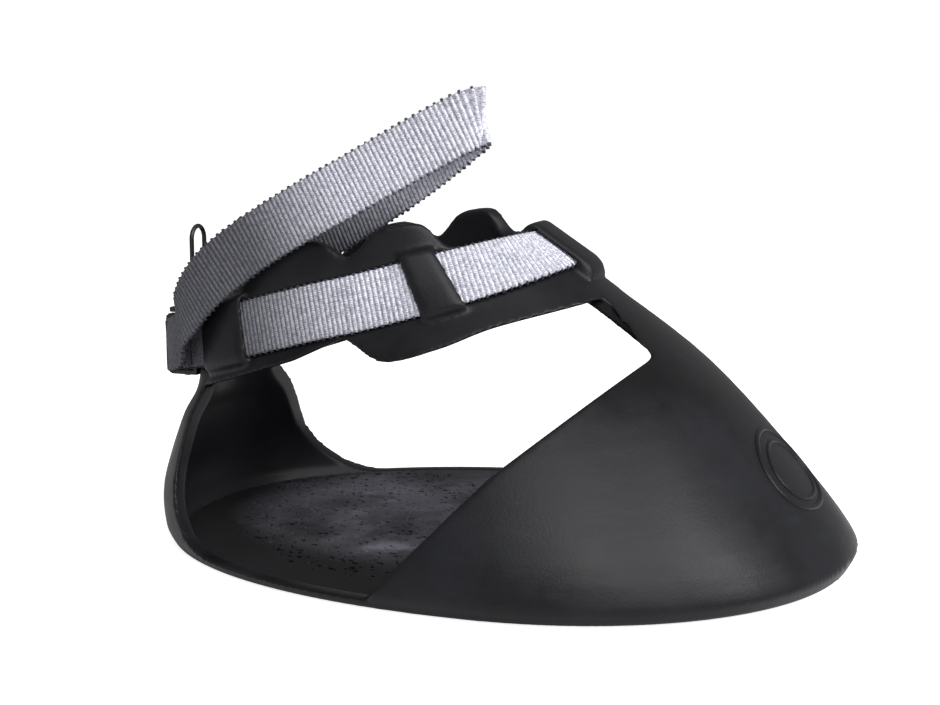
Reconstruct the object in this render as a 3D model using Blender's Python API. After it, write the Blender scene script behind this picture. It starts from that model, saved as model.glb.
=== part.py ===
"""Open-sided rubber hoof boot with a webbing strap and a cam buckle.

The toe points along +X, the near side faces -Y and +Z is up. The origin lies on the
ground in the middle of the boot's length. All sizes are in metres.
"""
import math

import bmesh
import bpy
from mathutils import Vector

MM = 0.001

# Clearances that every fit shares
GAP = 0.3 * MM
GROOVE_DEPTH = 0.4 * MM
CUT_OVERRUN = 6.0 * MM
SINK = 1.2 * MM

# Moulded upper: where each ring of its outer skin lies
FOOT_FRONT = 95.0 * MM
FOOT_REAR = 94.7 * MM
FOOT_HALF_WIDTH = 75.5 * MM
FOOT_CENTRE = 12.0 * MM

RIM_HEIGHT = 4.0 * MM
RIM_FLARE = 2.2 * MM

HIP_FRONT = 85.0 * MM
HIP_REAR = 98.2 * MM
HIP_HALF_WIDTH = 73.5 * MM
HIP_CENTRE = 8.0 * MM
HIP_FRONT_HEIGHT = 20.0 * MM
HIP_SIDE_HEIGHT = 19.0 * MM
HIP_REAR_HEIGHT = 15.0 * MM

WAIST_FRONT = 56.5 * MM
WAIST_REAR = 93.7 * MM
WAIST_HALF_WIDTH = 59.0 * MM
WAIST_CENTRE = -8.0 * MM
WAIST_FRONT_HEIGHT = 51.0 * MM
WAIST_SIDE_HEIGHT = 43.0 * MM
WAIST_REAR_HEIGHT = 32.0 * MM

COLLAR_BASE_FRONT = 25.0 * MM
COLLAR_BASE_REAR = 90.5 * MM
COLLAR_BASE_HALF_WIDTH = 39.0 * MM
COLLAR_BASE_CENTRE = -30.0 * MM
COLLAR_BASE_FRONT_HEIGHT = 75.5 * MM
COLLAR_BASE_SIDE_HEIGHT = 57.5 * MM
COLLAR_BASE_REAR_HEIGHT = 42.0 * MM

COLLAR_TOP_FRONT = 8.8 * MM
COLLAR_TOP_REAR = 91.3 * MM
COLLAR_TOP_HALF_WIDTH = 34.0 * MM
COLLAR_TOP_CENTRE = -37.0 * MM
COLLAR_TOP_FRONT_HEIGHT = 86.5 * MM
COLLAR_TOP_SIDE_HEIGHT = 79.0 * MM
COLLAR_TOP_REAR_HEIGHT = 64.0 * MM

WALL = 4.2 * MM
OVAL_POWER = 2.12
COLUMNS = 72
ROWS_PER_BAND = (1, 2, 3, 3, 4)

# Scallops along the collar's upper edge: angle from the toe, reach, height
HUMP_FRONT_ANGLE = 67.0
HUMP_REAR_ANGLE = 102.0
HUMP_SPREAD = 11.0
HUMP_HEIGHT = 8.0 * MM

# Side window, as an outline seen from the side
WINDOW_TOE_X = 46.3 * MM
WINDOW_TOE_Z = 56.3 * MM
WINDOW_BROW_X = 31.0 * MM
WINDOW_BROW_Z = 70.0 * MM
BROW_MIDDLE_X = 9.0 * MM
BROW_MIDDLE_Z = 64.3 * MM
BIB_FRONT_X = -4.5 * MM
BIB_FRONT_Z = 58.8 * MM
BIB_X = -19.0 * MM
BIB_Z = 55.2 * MM
NOTCH_X = -32.0 * MM
NOTCH_Z = 60.0 * MM
STRIP_FRONT_X = -47.0 * MM
STRIP_FRONT_Z = 53.0 * MM
WINDOW_HEEL_X = -80.5 * MM
WINDOW_HEEL_TOP_Z = 42.0 * MM
WINDOW_HEEL_RADIUS = 21.0 * MM
WINDOW_FLOOR_Z = 2.9 * MM
WINDOW_FLOOR_FRONT_X = -9.5 * MM
WINDOW_MIDDLE_X = 18.0 * MM
WINDOW_MIDDLE_Z = 32.5 * MM
NOSE_HALF_WIDTH = 9.0 * MM
ARC_STEPS = 6

# Moulded loops that the strap runs through: where each starts and ends, in
# degrees round the collar from the toe
FRONT_LOOP_HALF = 19.0
SIDE_LOOP = (59.5, 69.5)
REAR_LOOP = (121.0, 140.0)
LOOP_COVER = 1.8 * MM
LOOP_MARGIN = 2.6 * MM
LOOP_STEP = 2.5

# Sole, bonded inside the rim
SOLE_THICKNESS = 2.6 * MM
TREAD_DEPTH = 1.0 * MM
TREAD_WIDTH = 4.0 * MM
TREAD_PITCH = 15.0 * MM
TREAD_COUNT = 10
TREAD_FRONT = 70.0 * MM
TREAD_HALF_LENGTH = 42.0 * MM

# Webbing
WEBBING_WIDTH = 15.0 * MM
WEBBING_THICKNESS = 1.8 * MM
STRAP_LAST_ANGLE = 162.5
STRAP_STEP = 5.0

# Buckle behind the heel: a channel open to the rear, its pin and its anchor bar
BASE_THICKNESS = 1.2 * MM
BASE_HALF_LENGTH = 10.0 * MM
PAD_RECESS = 1.2 * MM
PAD_ROWS = 20
EDGE_CLEARANCE = 1.3 * MM
EAR_REACH = 8.5 * MM
EAR_GAP = 16.6 * MM
EAR_THICKNESS = 1.5 * MM
PIN_RADIUS = 1.1 * MM
PIN_FIT = 0.15 * MM
PIN_HEAD_RADIUS = 1.9 * MM
PIN_HEAD_HEIGHT = 0.8 * MM
PIN_SIDE = 3.4 * MM
ANCHOR_SIDE = -7.2 * MM
ANCHOR_RADIUS = 0.9 * MM
ANCHOR_HEIGHT_OVER_EAR = 0.6 * MM
LEVER_HUB_RADIUS = 2.4 * MM
LEVER_LENGTH = 17.0 * MM
LEVER_THICKNESS = 1.6 * MM
LEVER_TIP_LIFT = 0.4 * MM
LEVER_SIDE_PLAY = 0.4 * MM
TOOTH_DEPTH = 0.4 * MM
TOOTH_LIFT = 0.3 * MM
TOOTH_SIDES = 6
TOOTH_ANGLES = (-60.0, -30.0, 0.0, 30.0, 60.0)
LEVER_ARC_START = -180.0
LEVER_ARC = 250.0

# Rivets that hold the buckle on the collar
RIVET_RADIUS = 1.5 * MM
RIVET_FIT = 0.3 * MM
RIVET_HEAD_RADIUS = 2.6 * MM
RIVET_HEAD_HEIGHT = 0.9 * MM
RIVET_HALF_SPACING = 4.5 * MM
WASHER_RADIUS = 3.8 * MM
WASHER_THICKNESS = 0.8 * MM
WASHER_STANDOFF = 0.7 * MM

# Wire loops that stand on the collar's rear edge, each in a moulded lug
WIRE_RADIUS = 0.65 * MM
WIRE_LOOP_HALF_WIDTH = 3.6 * MM
WIRE_LOOP_HEIGHT = 22.0 * MM
WIRE_LOOP_ANGLE = 158.0
WIRE_ARC_STEPS = 6
WIRE_FOOT_SHARE = 0.35
WIRE_SIDES = 8
LUG_HALF_WIDTH = 1.9 * MM
LUG_HALF_DEPTH = 2.0 * MM
LUG_HEIGHT = 4.2 * MM
LUG_INSET = 0.5 * MM
LUG_EYE_RADIUS = 1.0 * MM
LUG_EYE_HEIGHT = 2.4 * MM

# Loose tail of the strap: points along its middle line, from the buckle's side up to
# the fold and back down inside the collar
TAIL_ROUTE = (
    (-88.4 * MM, -23.4 * MM, 55.2 * MM),
    (-83.2 * MM, -29.4 * MM, 63.0 * MM),
    (-73.6 * MM, -33.8 * MM, 73.2 * MM),
    (-60.6 * MM, -35.2 * MM, 82.8 * MM),
    (-45.7 * MM, -36.6 * MM, 91.4 * MM),
    (-30.3 * MM, -37.0 * MM, 99.6 * MM),
    (-15.9 * MM, -36.8 * MM, 107.4 * MM),
    (0.0 * MM, -35.6 * MM, 115.8 * MM),
    (5.2 * MM, -33.6 * MM, 117.8 * MM),
    (3.2 * MM, -31.0 * MM, 116.2 * MM),
    (-12.3 * MM, -24.0 * MM, 106.0 * MM),
    (-27.2 * MM, -19.0 * MM, 97.0 * MM),
    (-42.7 * MM, -14.0 * MM, 88.2 * MM),
    (-59.8 * MM, -9.0 * MM, 79.0 * MM),
)
TAIL_STEPS_PER_SPAN = 2
TAIL_LEAD = 1.5 * MM

# Where the strap leaves the collar for the buckle, its sewn end round the anchor bar,
# and its way out past the cam: back from the strap's line, then sideways
LEAVE_ANGLE = 147.5
SPLIT_GAP = 0.8 * MM
SEWN_LENGTH = 7.0 * MM
SEWN_SHARE = 0.45
WRAP_ANGLES = (200.0, 170.0, 135.0, 100.0, 65.0, 30.0, 0.0, -20.0)
EXIT_ROUTE = (
    (0.0 * MM, 5.0 * MM),
    (0.0 * MM, 1.5 * MM),
    (0.8 * MM, -0.8 * MM),
    (2.8 * MM, -2.4 * MM),
    (5.0 * MM, -3.8 * MM),
    (6.4 * MM, -6.4 * MM),
    (6.3 * MM, -9.0 * MM),
    (5.4 * MM, -11.6 * MM),
    (4.1 * MM, -14.0 * MM),
    (2.6 * MM, -16.4 * MM),
)

ROUND_STEPS = 20
UP = Vector((0, 0, 1))


def clear_scene():
    for old in list(bpy.data.objects):
        bpy.data.objects.remove(old)


def material(name, colour, roughness, metallic=0.0):
    """One Principled material of the given colour."""
    made = bpy.data.materials.new(name)
    made.use_nodes = True
    shader = made.node_tree.nodes["Principled BSDF"]
    shader.inputs["Base Color"].default_value = (*colour, 1)
    shader.inputs["Roughness"].default_value = roughness
    shader.inputs["Metallic"].default_value = metallic
    return made


def finish(name, shape, surface=None, smooth_angle=35.0):
    """Turn a bmesh into a named object with outward faces and its material."""
    bmesh.ops.recalc_face_normals(shape, faces=shape.faces)
    mesh = bpy.data.meshes.new(name)
    shape.to_mesh(mesh)
    shape.free()
    mesh.shade_smooth()
    mesh.set_sharp_from_angle(angle=math.radians(smooth_angle))
    if surface:
        mesh.materials.append(surface)
    made = bpy.data.objects.new(name, mesh)
    bpy.context.scene.collection.objects.link(made)
    return made


def combine(target, tool, operation="DIFFERENCE"):
    """Add a Boolean to target; its tool stays in the file as a wire guide."""
    tool.hide_render = True
    tool.display_type = "WIRE"
    modifier = target.modifiers.new(tool.name, "BOOLEAN")
    modifier.operation = operation
    modifier.solver = "EXACT"
    modifier.object = tool


def add_box(shape, low, high):
    """Add a box between two corners to a bmesh."""
    corners = [
        shape.verts.new((x, y, z))
        for x in (low[0], high[0])
        for y in (low[1], high[1])
        for z in (low[2], high[2])
    ]
    sides = ((0, 1, 3, 2), (4, 6, 7, 5), (0, 4, 5, 1), (2, 3, 7, 6), (0, 2, 6, 4), (1, 5, 7, 3))
    for side in sides:
        shape.faces.new([corners[i] for i in side])


def add_rod(shape, start, end, radius, steps=ROUND_STEPS):
    """Add a cylinder from start to end to a bmesh."""
    start, end = Vector(start), Vector(end)
    along = (end - start).normalized()
    across = along.orthogonal().normalized()
    beside = along.cross(across)
    rings = []
    for centre in (start, end):
        turn = [2 * math.pi * i / steps for i in range(steps)]
        rings.append(
            [
                shape.verts.new(centre + radius * (math.cos(a) * across + math.sin(a) * beside))
                for a in turn
            ]
        )
    for i in range(steps):
        j = (i + 1) % steps
        shape.faces.new((rings[0][i], rings[0][j], rings[1][j], rings[1][i]))
    shape.faces.new(rings[0])
    shape.faces.new(rings[1])


def add_sweep(shape, sections, closed=False):
    """Join equal sections, each a list of points, into a tube with flat ends."""
    rings = [[shape.verts.new(p) for p in section] for section in sections]
    count = len(rings[0])
    pairs = list(zip(rings, rings[1:]))
    if closed:
        pairs.append((rings[-1], rings[0]))
    for one, two in pairs:
        for i in range(count):
            j = (i + 1) % count
            shape.faces.new((one[i], one[j], two[j], two[i]))
    if not closed:
        shape.faces.new(rings[0])
        shape.faces.new(rings[-1])


def extrude_outline(shape, outline, low, high):
    """Add a prism whose outline lies in the XZ plane and which runs from y low to high."""
    add_sweep(shape, [[Vector((x, y, z)) for x, z in outline] for y in (low, high)])


def smooth_between(before, start, end, after, share):
    """Catmull-Rom value between start and end."""
    return 0.5 * (
        2 * start
        + (end - before) * share
        + (2 * before - 5 * start + 4 * end - after) * share**2
        + (3 * start - before - 3 * end + after) * share**3
    )


def smooth_route(points, steps):
    """A smooth curve through the points, with the given steps in each span."""
    points = [Vector(p) for p in points]
    padded = [2 * points[0] - points[1]] + points + [2 * points[-1] - points[-2]]
    curve = []
    for i in range(len(points) - 1):
        for step in range(steps):
            curve.append(smooth_between(*padded[i : i + 4], step / steps))
    curve.append(points[-1])
    return curve


# Each ring of the upper: front, rear, half width, middle, then its height at the
# front, the sides and the rear
RINGS = (
    (FOOT_FRONT, FOOT_REAR, FOOT_HALF_WIDTH, FOOT_CENTRE, 0, 0, 0),
    (
        FOOT_FRONT + RIM_FLARE,
        FOOT_REAR + RIM_FLARE,
        FOOT_HALF_WIDTH + RIM_FLARE,
        FOOT_CENTRE,
        RIM_HEIGHT,
        RIM_HEIGHT,
        RIM_HEIGHT,
    ),
    (
        HIP_FRONT,
        HIP_REAR,
        HIP_HALF_WIDTH,
        HIP_CENTRE,
        HIP_FRONT_HEIGHT,
        HIP_SIDE_HEIGHT,
        HIP_REAR_HEIGHT,
    ),
    (
        WAIST_FRONT,
        WAIST_REAR,
        WAIST_HALF_WIDTH,
        WAIST_CENTRE,
        WAIST_FRONT_HEIGHT,
        WAIST_SIDE_HEIGHT,
        WAIST_REAR_HEIGHT,
    ),
    (
        COLLAR_BASE_FRONT,
        COLLAR_BASE_REAR,
        COLLAR_BASE_HALF_WIDTH,
        COLLAR_BASE_CENTRE,
        COLLAR_BASE_FRONT_HEIGHT,
        COLLAR_BASE_SIDE_HEIGHT,
        COLLAR_BASE_REAR_HEIGHT,
    ),
    (
        COLLAR_TOP_FRONT,
        COLLAR_TOP_REAR,
        COLLAR_TOP_HALF_WIDTH,
        COLLAR_TOP_CENTRE,
        COLLAR_TOP_FRONT_HEIGHT,
        COLLAR_TOP_SIDE_HEIGHT,
        COLLAR_TOP_REAR_HEIGHT,
    ),
)
COLLAR_BASE_LEVEL = 4.0
STRAP_LEVEL = 4.5
COLLAR_TOP_LEVEL = 5.0
HUMP_START_SHARE = 2 / 3
LEVEL_STEP_SHARE = 0.05
ANGLE_STEP = 1.0


def ring_point(ring, angle):
    """Point of a ring at an angle in degrees from the toe, positive towards +Y."""
    front, rear, half_width, centre, z_front, z_side, z_rear = ring
    cosine, sine = math.cos(math.radians(angle)), math.sin(math.radians(angle))
    if cosine >= 0:
        reach, rise = front - centre, z_front - z_side
    else:
        reach, rise = rear + centre, z_side - z_rear
    power = 2 / OVAL_POWER
    x = centre + math.copysign(reach * abs(cosine) ** power, cosine)
    y = math.copysign(half_width * abs(sine) ** power, sine)
    return Vector((x, y, z_side + rise * cosine))


def hump(angle):
    """Height of the scallops on the collar's upper edge."""
    side = abs((angle + 180) % 360 - 180)
    peaks = (HUMP_FRONT_ANGLE, HUMP_REAR_ANGLE)
    return HUMP_HEIGHT * sum(math.exp(-(((side - p) / HUMP_SPREAD) ** 2)) for p in peaks)


def skin(angle, level):
    """Point of the upper's outer surface; level counts rings up from the ground."""
    points = [ring_point(ring, angle) for ring in RINGS]
    last = len(points) - 1
    span = min(int(level), last - 1)
    before = points[span - 1] if span else 2 * points[0] - points[1]
    after = points[span + 2] if span + 2 <= last else 2 * points[last] - points[last - 1]
    found = smooth_between(before, points[span], points[span + 1], after, level - span)
    over = (level - COLLAR_BASE_LEVEL - HUMP_START_SHARE) / (1 - HUMP_START_SHARE)
    return found + max(over, 0) * hump(angle) * UP


def skin_frame(angle, level):
    """Point, outward normal and upward direction of the outer surface."""
    up = skin(angle, level + LEVEL_STEP_SHARE) - skin(angle, level - LEVEL_STEP_SHARE)
    along = skin(angle + ANGLE_STEP, level) - skin(angle - ANGLE_STEP, level)
    up.normalize()
    normal = along.cross(up).normalized()
    return skin(angle, level), normal, up


def band_section(frame, inner, outer, half_width):
    """Four corners of a flat band across a surface frame, offset along its normal."""
    point, normal, up = frame
    return [
        point + normal * offset + up * side
        for offset, side in (
            (inner, -half_width),
            (outer, -half_width),
            (outer, half_width),
            (inner, half_width),
        )
    ]


def window_outline():
    """Side view of the opening between the quarters and the collar."""
    centre_x = WINDOW_HEEL_X + WINDOW_HEEL_RADIUS
    centre_z = WINDOW_FLOOR_Z + WINDOW_HEEL_RADIUS
    outline = [
        (WINDOW_TOE_X, WINDOW_TOE_Z),
        (WINDOW_MIDDLE_X, WINDOW_MIDDLE_Z),
        (WINDOW_FLOOR_FRONT_X, WINDOW_FLOOR_Z),
    ]
    for i in range(ARC_STEPS + 1):
        turn = math.radians(270 - 90 * i / ARC_STEPS)
        x = centre_x + WINDOW_HEEL_RADIUS * math.cos(turn)
        z = centre_z + WINDOW_HEEL_RADIUS * math.sin(turn)
        outline.append((x, z))
    outline.append((WINDOW_HEEL_X, WINDOW_HEEL_TOP_Z))
    outline.append((STRIP_FRONT_X, STRIP_FRONT_Z))
    brow = smooth_route(
        [
            (NOTCH_X, NOTCH_Z, 0),
            (BIB_X, BIB_Z, 0),
            (BIB_FRONT_X, BIB_FRONT_Z, 0),
            (BROW_MIDDLE_X, BROW_MIDDLE_Z, 0),
            (WINDOW_BROW_X, WINDOW_BROW_Z, 0),
        ],
        ARC_STEPS // 2,
    )
    outline += [(p.x, p.y) for p in brow]
    return outline


def degrees_between(first, last, step):
    count = max(round(abs(last - first) / step), 1)
    return [first + (last - first) * i / count for i in range(count + 1)]


STRAP_INNER = GAP - GROOVE_DEPTH
STRAP_MIDDLE = STRAP_INNER + WEBBING_THICKNESS / 2
CHANNEL_OUTER = STRAP_INNER + WEBBING_THICKNESS + GAP
CHANNEL_HALF_WIDTH = WEBBING_WIDTH / 2 + GAP


def build_upper(rubber):
    """Toe cap, quarters, heel sling and collar, moulded in one."""
    levels = []
    for band, rows in enumerate(ROWS_PER_BAND):
        levels += [band + row / rows for row in range(rows)]
    levels.append(float(len(ROWS_PER_BAND)))
    shape = bmesh.new()
    angles = [360 * i / COLUMNS for i in range(COLUMNS)]
    grid = [[shape.verts.new(skin(angle, level)) for angle in angles] for level in levels]
    for lower, upper in zip(grid, grid[1:]):
        for i in range(COLUMNS):
            j = (i + 1) % COLUMNS
            shape.faces.new((lower[i], lower[j], upper[j], upper[i]))
    mesh = bpy.data.meshes.new("boot_upper")
    shape.to_mesh(mesh)
    shape.free()
    mesh.shade_smooth()
    mesh.materials.append(rubber)
    upper = bpy.data.objects.new("boot_upper", mesh)
    bpy.context.scene.collection.objects.link(upper)
    wall = upper.modifiers.new("wall", "SOLIDIFY")
    wall.thickness = WALL
    wall.offset = -1
    wall.use_even_offset = True

    reach = FOOT_HALF_WIDTH + RIM_FLARE + CUT_OVERRUN
    windows = bmesh.new()
    outline = window_outline()
    extrude_outline(windows, outline, -reach, -NOSE_HALF_WIDTH)
    extrude_outline(windows, outline, NOSE_HALF_WIDTH, reach)
    combine(upper, finish("window_guide", windows))

    loops = bmesh.new()
    half_width = WEBBING_WIDTH / 2 + LOOP_MARGIN
    outer = CHANNEL_OUTER + LOOP_COVER
    spans = [(-FRONT_LOOP_HALF, FRONT_LOOP_HALF)]
    for first, last in (SIDE_LOOP, REAR_LOOP):
        spans += [(first, last), (-last, -first)]
    for first, last in spans:
        frames = [skin_frame(a, STRAP_LEVEL) for a in degrees_between(first, last, LOOP_STEP)]
        add_sweep(loops, [band_section(f, -SINK, outer, half_width) for f in frames])
    for side in (-1, 1):
        centre = lug_centre(side)
        low = centre - Vector((LUG_HALF_DEPTH, LUG_HALF_WIDTH, SINK))
        high = centre + Vector((LUG_HALF_DEPTH, LUG_HALF_WIDTH, LUG_HEIGHT))
        add_box(loops, low, high)
    combine(upper, finish("loop_guide", loops), "UNION")

    channel = bmesh.new()
    frames = [
        skin_frame(a, STRAP_LEVEL)
        for a in degrees_between(-STRAP_LAST_ANGLE, STRAP_LAST_ANGLE, STRAP_STEP)
    ]
    inner = STRAP_INNER - GAP
    sections = [band_section(f, inner, CHANNEL_OUTER, CHANNEL_HALF_WIDTH) for f in frames]
    add_sweep(channel, sections)
    combine(upper, finish("channel_guide", channel))

    seat = bmesh.new()
    places = buckle_places()
    rear = places["rear"]
    wide, tall = BASE_HALF_LENGTH + GAP, EAR_GAP / 2 + EAR_THICKNESS + GAP
    low = (places["pad_x"] - CUT_OVERRUN, -wide, rear.z - tall)
    add_box(seat, low, (places["pad_x"], wide, rear.z + tall))
    combine(upper, finish("seat_guide", seat))

    holes = bmesh.new()
    for side in (-1, 1):
        centre = rear + side * RIVET_HALF_SPACING * UP
        start = centre - Vector((CUT_OVERRUN, 0, 0))
        end = centre + Vector((WALL + CUT_OVERRUN, 0, 0))
        add_rod(holes, start, end, RIVET_RADIUS + RIVET_FIT)
        eye = lug_centre(side) + LUG_EYE_HEIGHT * UP
        half = Vector((0, LUG_HALF_WIDTH + SINK, 0))
        add_rod(holes, eye - half, eye + half, LUG_EYE_RADIUS)
    combine(upper, finish("hole_guide", holes))
    return upper


def lug_centre(side):
    """Foot of the lug that carries a wire loop, on the collar's rear edge."""
    top, normal, _ = skin_frame(side * WIRE_LOOP_ANGLE, COLLAR_TOP_LEVEL - LEVEL_STEP_SHARE)
    return top - normal * LUG_INSET


def build_sole(rubber):
    """Tread plate inside the rim of the upper."""
    shape = bmesh.new()
    wall = WALL * math.hypot(RIM_HEIGHT, RIM_FLARE) / RIM_HEIGHT
    sections = []
    for height in (0, SOLE_THICKNESS):
        share = height / RIM_HEIGHT
        section = []
        for i in range(COLUMNS):
            angle = 360 * i / COLUMNS
            outside = skin(angle, 0).lerp(skin(angle, 1), share)
            _, normal, _ = skin_frame(angle, LEVEL_STEP_SHARE)
            flat = Vector((normal.x, normal.y, 0)).normalized()
            section.append(outside - flat * (wall + GAP))
        sections.append(section)
    add_sweep(shape, sections)
    sole = finish("sole_tread", shape, rubber)
    grooves = bmesh.new()
    for i in range(TREAD_COUNT):
        x = TREAD_FRONT - i * TREAD_PITCH
        low = (x - TREAD_WIDTH, -TREAD_HALF_LENGTH, -CUT_OVERRUN)
        add_box(grooves, low, (x, TREAD_HALF_LENGTH, TREAD_DEPTH))
    combine(sole, finish("tread_guide", grooves))
    return sole


def ribbon(name, frames, surface):
    """A strap from frames of middle point, face normal and width direction."""
    shape = bmesh.new()
    half = WEBBING_THICKNESS / 2
    add_sweep(shape, [band_section(f, -half, half, WEBBING_WIDTH / 2) for f in frames])
    return finish(name, shape, surface)


def route_frames(points):
    """Frames along a route whose strap stands as upright as it can."""
    frames = []
    for i, point in enumerate(points):
        along = points[min(i + 1, len(points) - 1)] - points[max(i - 1, 0)]
        along.normalize()
        up = (UP - UP.dot(along) * along).normalized()
        frames.append((point, along.cross(up), up))
    return frames


def buckle_places():
    """Where the buckle's parts stand behind the collar."""
    rear = skin(180, STRAP_LEVEL)
    rows = [COLLAR_BASE_LEVEL + LEVEL_STEP_SHARE * i for i in range(PAD_ROWS)]
    pad_x = min(skin(180, level).x for level in rows) + PAD_RECESS
    back_of_plate = pad_x - GAP - BASE_THICKNESS
    strap_x = back_of_plate - GAP - WEBBING_THICKNESS / 2
    wrap = WEBBING_THICKNESS / 2 + GAP
    return {
        "rear": rear,
        "pad_x": pad_x,
        "plate_x": pad_x - GAP,
        "inside_x": max(skin(180, level).x for level in rows) + WALL,
        "strap_x": strap_x,
        "pin": Vector((strap_x - wrap - LEVER_HUB_RADIUS, PIN_SIDE, rear.z)),
        "anchor": Vector((strap_x - wrap - ANCHOR_RADIUS, ANCHOR_SIDE, rear.z)),
    }


def build_strap(webbing):
    """Strap round the collar: from the anchor bar, past the toe, to the cam and out."""
    places = buckle_places()
    height = places["rear"].z
    anchor, strap_x = places["anchor"], places["strap_x"]
    wrap_radius = ANCHOR_RADIUS + GAP + WEBBING_THICKNESS / 2
    points = []
    doubled = WEBBING_THICKNESS + GAP
    near_leave = skin_frame(-LEAVE_ANGLE, STRAP_LEVEL)
    leave = near_leave[0] + near_leave[1] * STRAP_MIDDLE
    at_plate = Vector((strap_x, -BASE_HALF_LENGTH - EDGE_CLEARANCE, height))
    slope = (at_plate - leave).normalized()
    outward = Vector((slope.y, -slope.x, 0)).normalized() * -1
    end = at_plate - slope * SEWN_LENGTH + outward * doubled
    points.append(end)
    points.append(end + slope * SEWN_LENGTH * SEWN_SHARE)
    for turn in WRAP_ANGLES:
        a = math.radians(turn)
        spot = Vector((math.cos(a), math.sin(a), 0)) * wrap_radius
        points.append(anchor + spot)
    points.append(at_plate)
    frames = []
    for i, point in enumerate(points):
        along = points[min(i + 1, len(points) - 1)] - points[max(i - 1, 0)]
        along = Vector((along.x, along.y, 0)).normalized()
        frames.append((point, along.cross(UP), UP))
    for angle in degrees_between(-LEAVE_ANGLE, LEAVE_ANGLE, STRAP_STEP):
        point, normal, up = skin_frame(angle, STRAP_LEVEL)
        frames.append((point + normal * STRAP_MIDDLE, normal, up))
    exit_points = [Vector((strap_x, BASE_HALF_LENGTH + EDGE_CLEARANCE, height))]
    exit_points += [Vector((strap_x - back, side, height)) for back, side in EXIT_ROUTE]
    exit_points[-1] -= tail_axis() * SPLIT_GAP / 2
    for i, point in enumerate(exit_points):
        before = exit_points[i - 1] if i else frames[-1][0]
        after = exit_points[min(i + 1, len(exit_points) - 1)]
        along = Vector((after.x - before.x, after.y - before.y, 0)).normalized()
        frames.append((point, along.cross(UP), UP))
    return ribbon("collar_strap", frames, webbing)


def tail_axis():
    """Direction in which the strap leaves the buckle, about which its tail turns."""
    last, before = EXIT_ROUTE[-1], EXIT_ROUTE[-2]
    return Vector((before[0] - last[0], last[1] - before[1], 0)).normalized()


def build_tail(webbing):
    """Loose end of the strap, lifted and folded back on itself."""
    places = buckle_places()
    back, side = EXIT_ROUTE[-1]
    start = Vector((places["strap_x"] - back, side, places["rear"].z))
    start += tail_axis() * SPLIT_GAP / 2
    route = [start, start + tail_axis() * TAIL_LEAD] + [Vector(p) for p in TAIL_ROUTE]
    points = smooth_route(route, TAIL_STEPS_PER_SPAN)
    frames = route_frames(points)
    frames[0] = (start, tail_axis().cross(UP), UP)
    return ribbon("strap_tail", frames, webbing)


def build_buckle(steel, bright):
    """Channel, cam lever, its pin, the anchor bar, and the rivets with their washers."""
    places = buckle_places()
    height = places["rear"].z
    pin, anchor = places["pin"], places["anchor"]
    inner, outer = EAR_GAP / 2, EAR_GAP / 2 + EAR_THICKNESS
    front_x = places["plate_x"]
    back_x = front_x - BASE_THICKNESS
    tip_x = front_x - EAR_REACH
    outline = [
        (front_x, height - outer),
        (front_x, height + outer),
        (tip_x, height + outer),
        (tip_x, height + inner),
        (back_x, height + inner),
        (back_x, height - inner),
        (tip_x, height - inner),
        (tip_x, height - outer),
    ]
    shape = bmesh.new()
    extrude_outline(shape, outline, -BASE_HALF_LENGTH, BASE_HALF_LENGTH)
    base = finish("buckle_base", shape, steel)
    holes = bmesh.new()
    tall = (outer + CUT_OVERRUN) * UP
    add_rod(holes, pin - tall, pin + tall, PIN_RADIUS + PIN_FIT)
    add_rod(holes, anchor - tall, anchor + tall, ANCHOR_RADIUS + PIN_FIT)
    for side in (-1, 1):
        centre = Vector((front_x, 0, height + side * RIVET_HALF_SPACING))
        deep = Vector((CUT_OVERRUN, 0, 0))
        add_rod(holes, centre - deep, centre + deep, RIVET_RADIUS + RIVET_FIT)
    combine(base, finish("buckle_hole_guide", holes))

    shape = bmesh.new()
    head = (outer + PIN_FIT) * UP
    cap = (outer + PIN_FIT + PIN_HEAD_HEIGHT) * UP
    profile = [
        (PIN_HEAD_RADIUS, pin - cap),
        (PIN_HEAD_RADIUS, pin - head),
        (PIN_RADIUS, pin - head),
        (PIN_RADIUS, pin + head),
        (PIN_HEAD_RADIUS, pin + head),
        (PIN_HEAD_RADIUS, pin + cap),
    ]
    add_turned(shape, profile, Vector((1, 0, 0)), Vector((0, 1, 0)))
    finish("cam_pin", shape, bright)

    shape = bmesh.new()
    reach = (outer + ANCHOR_HEIGHT_OVER_EAR) * UP
    add_rod(shape, anchor - reach, anchor + reach, ANCHOR_RADIUS)
    finish("anchor_bar", shape, bright)

    build_lever(steel, pin)

    for name, side in (("rivet_upper", 1), ("rivet_lower", -1)):
        centre = Vector((back_x, 0, height + side * RIVET_HALF_SPACING))
        tail_x = places["inside_x"] + WASHER_STANDOFF + WASHER_THICKNESS + PIN_FIT - back_x
        along = Vector((1, 0, 0))
        profile = [
            (RIVET_RADIUS, centre),
            (RIVET_RADIUS, centre + along * tail_x),
            (RIVET_HEAD_RADIUS, centre + along * tail_x),
            (RIVET_HEAD_RADIUS, centre + along * (tail_x + RIVET_HEAD_HEIGHT)),
        ]
        shape = bmesh.new()
        add_turned(shape, profile, Vector((0, 1, 0)), UP)
        finish(name, shape, bright)
        washer_front = centre.x + tail_x - PIN_FIT
        shape = bmesh.new()
        start = Vector((washer_front - WASHER_THICKNESS, 0, centre.z))
        end = Vector((washer_front, 0, centre.z))
        rings = []
        for radius in (WASHER_RADIUS, RIVET_RADIUS + PIN_FIT):
            for place in (start, end):
                rings.append((radius, place))
        add_turned(
            shape, [rings[0], rings[1], rings[3], rings[2]], Vector((0, 1, 0)), UP, closed=True
        )
        finish(name.replace("rivet", "washer"), shape, bright)


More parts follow.
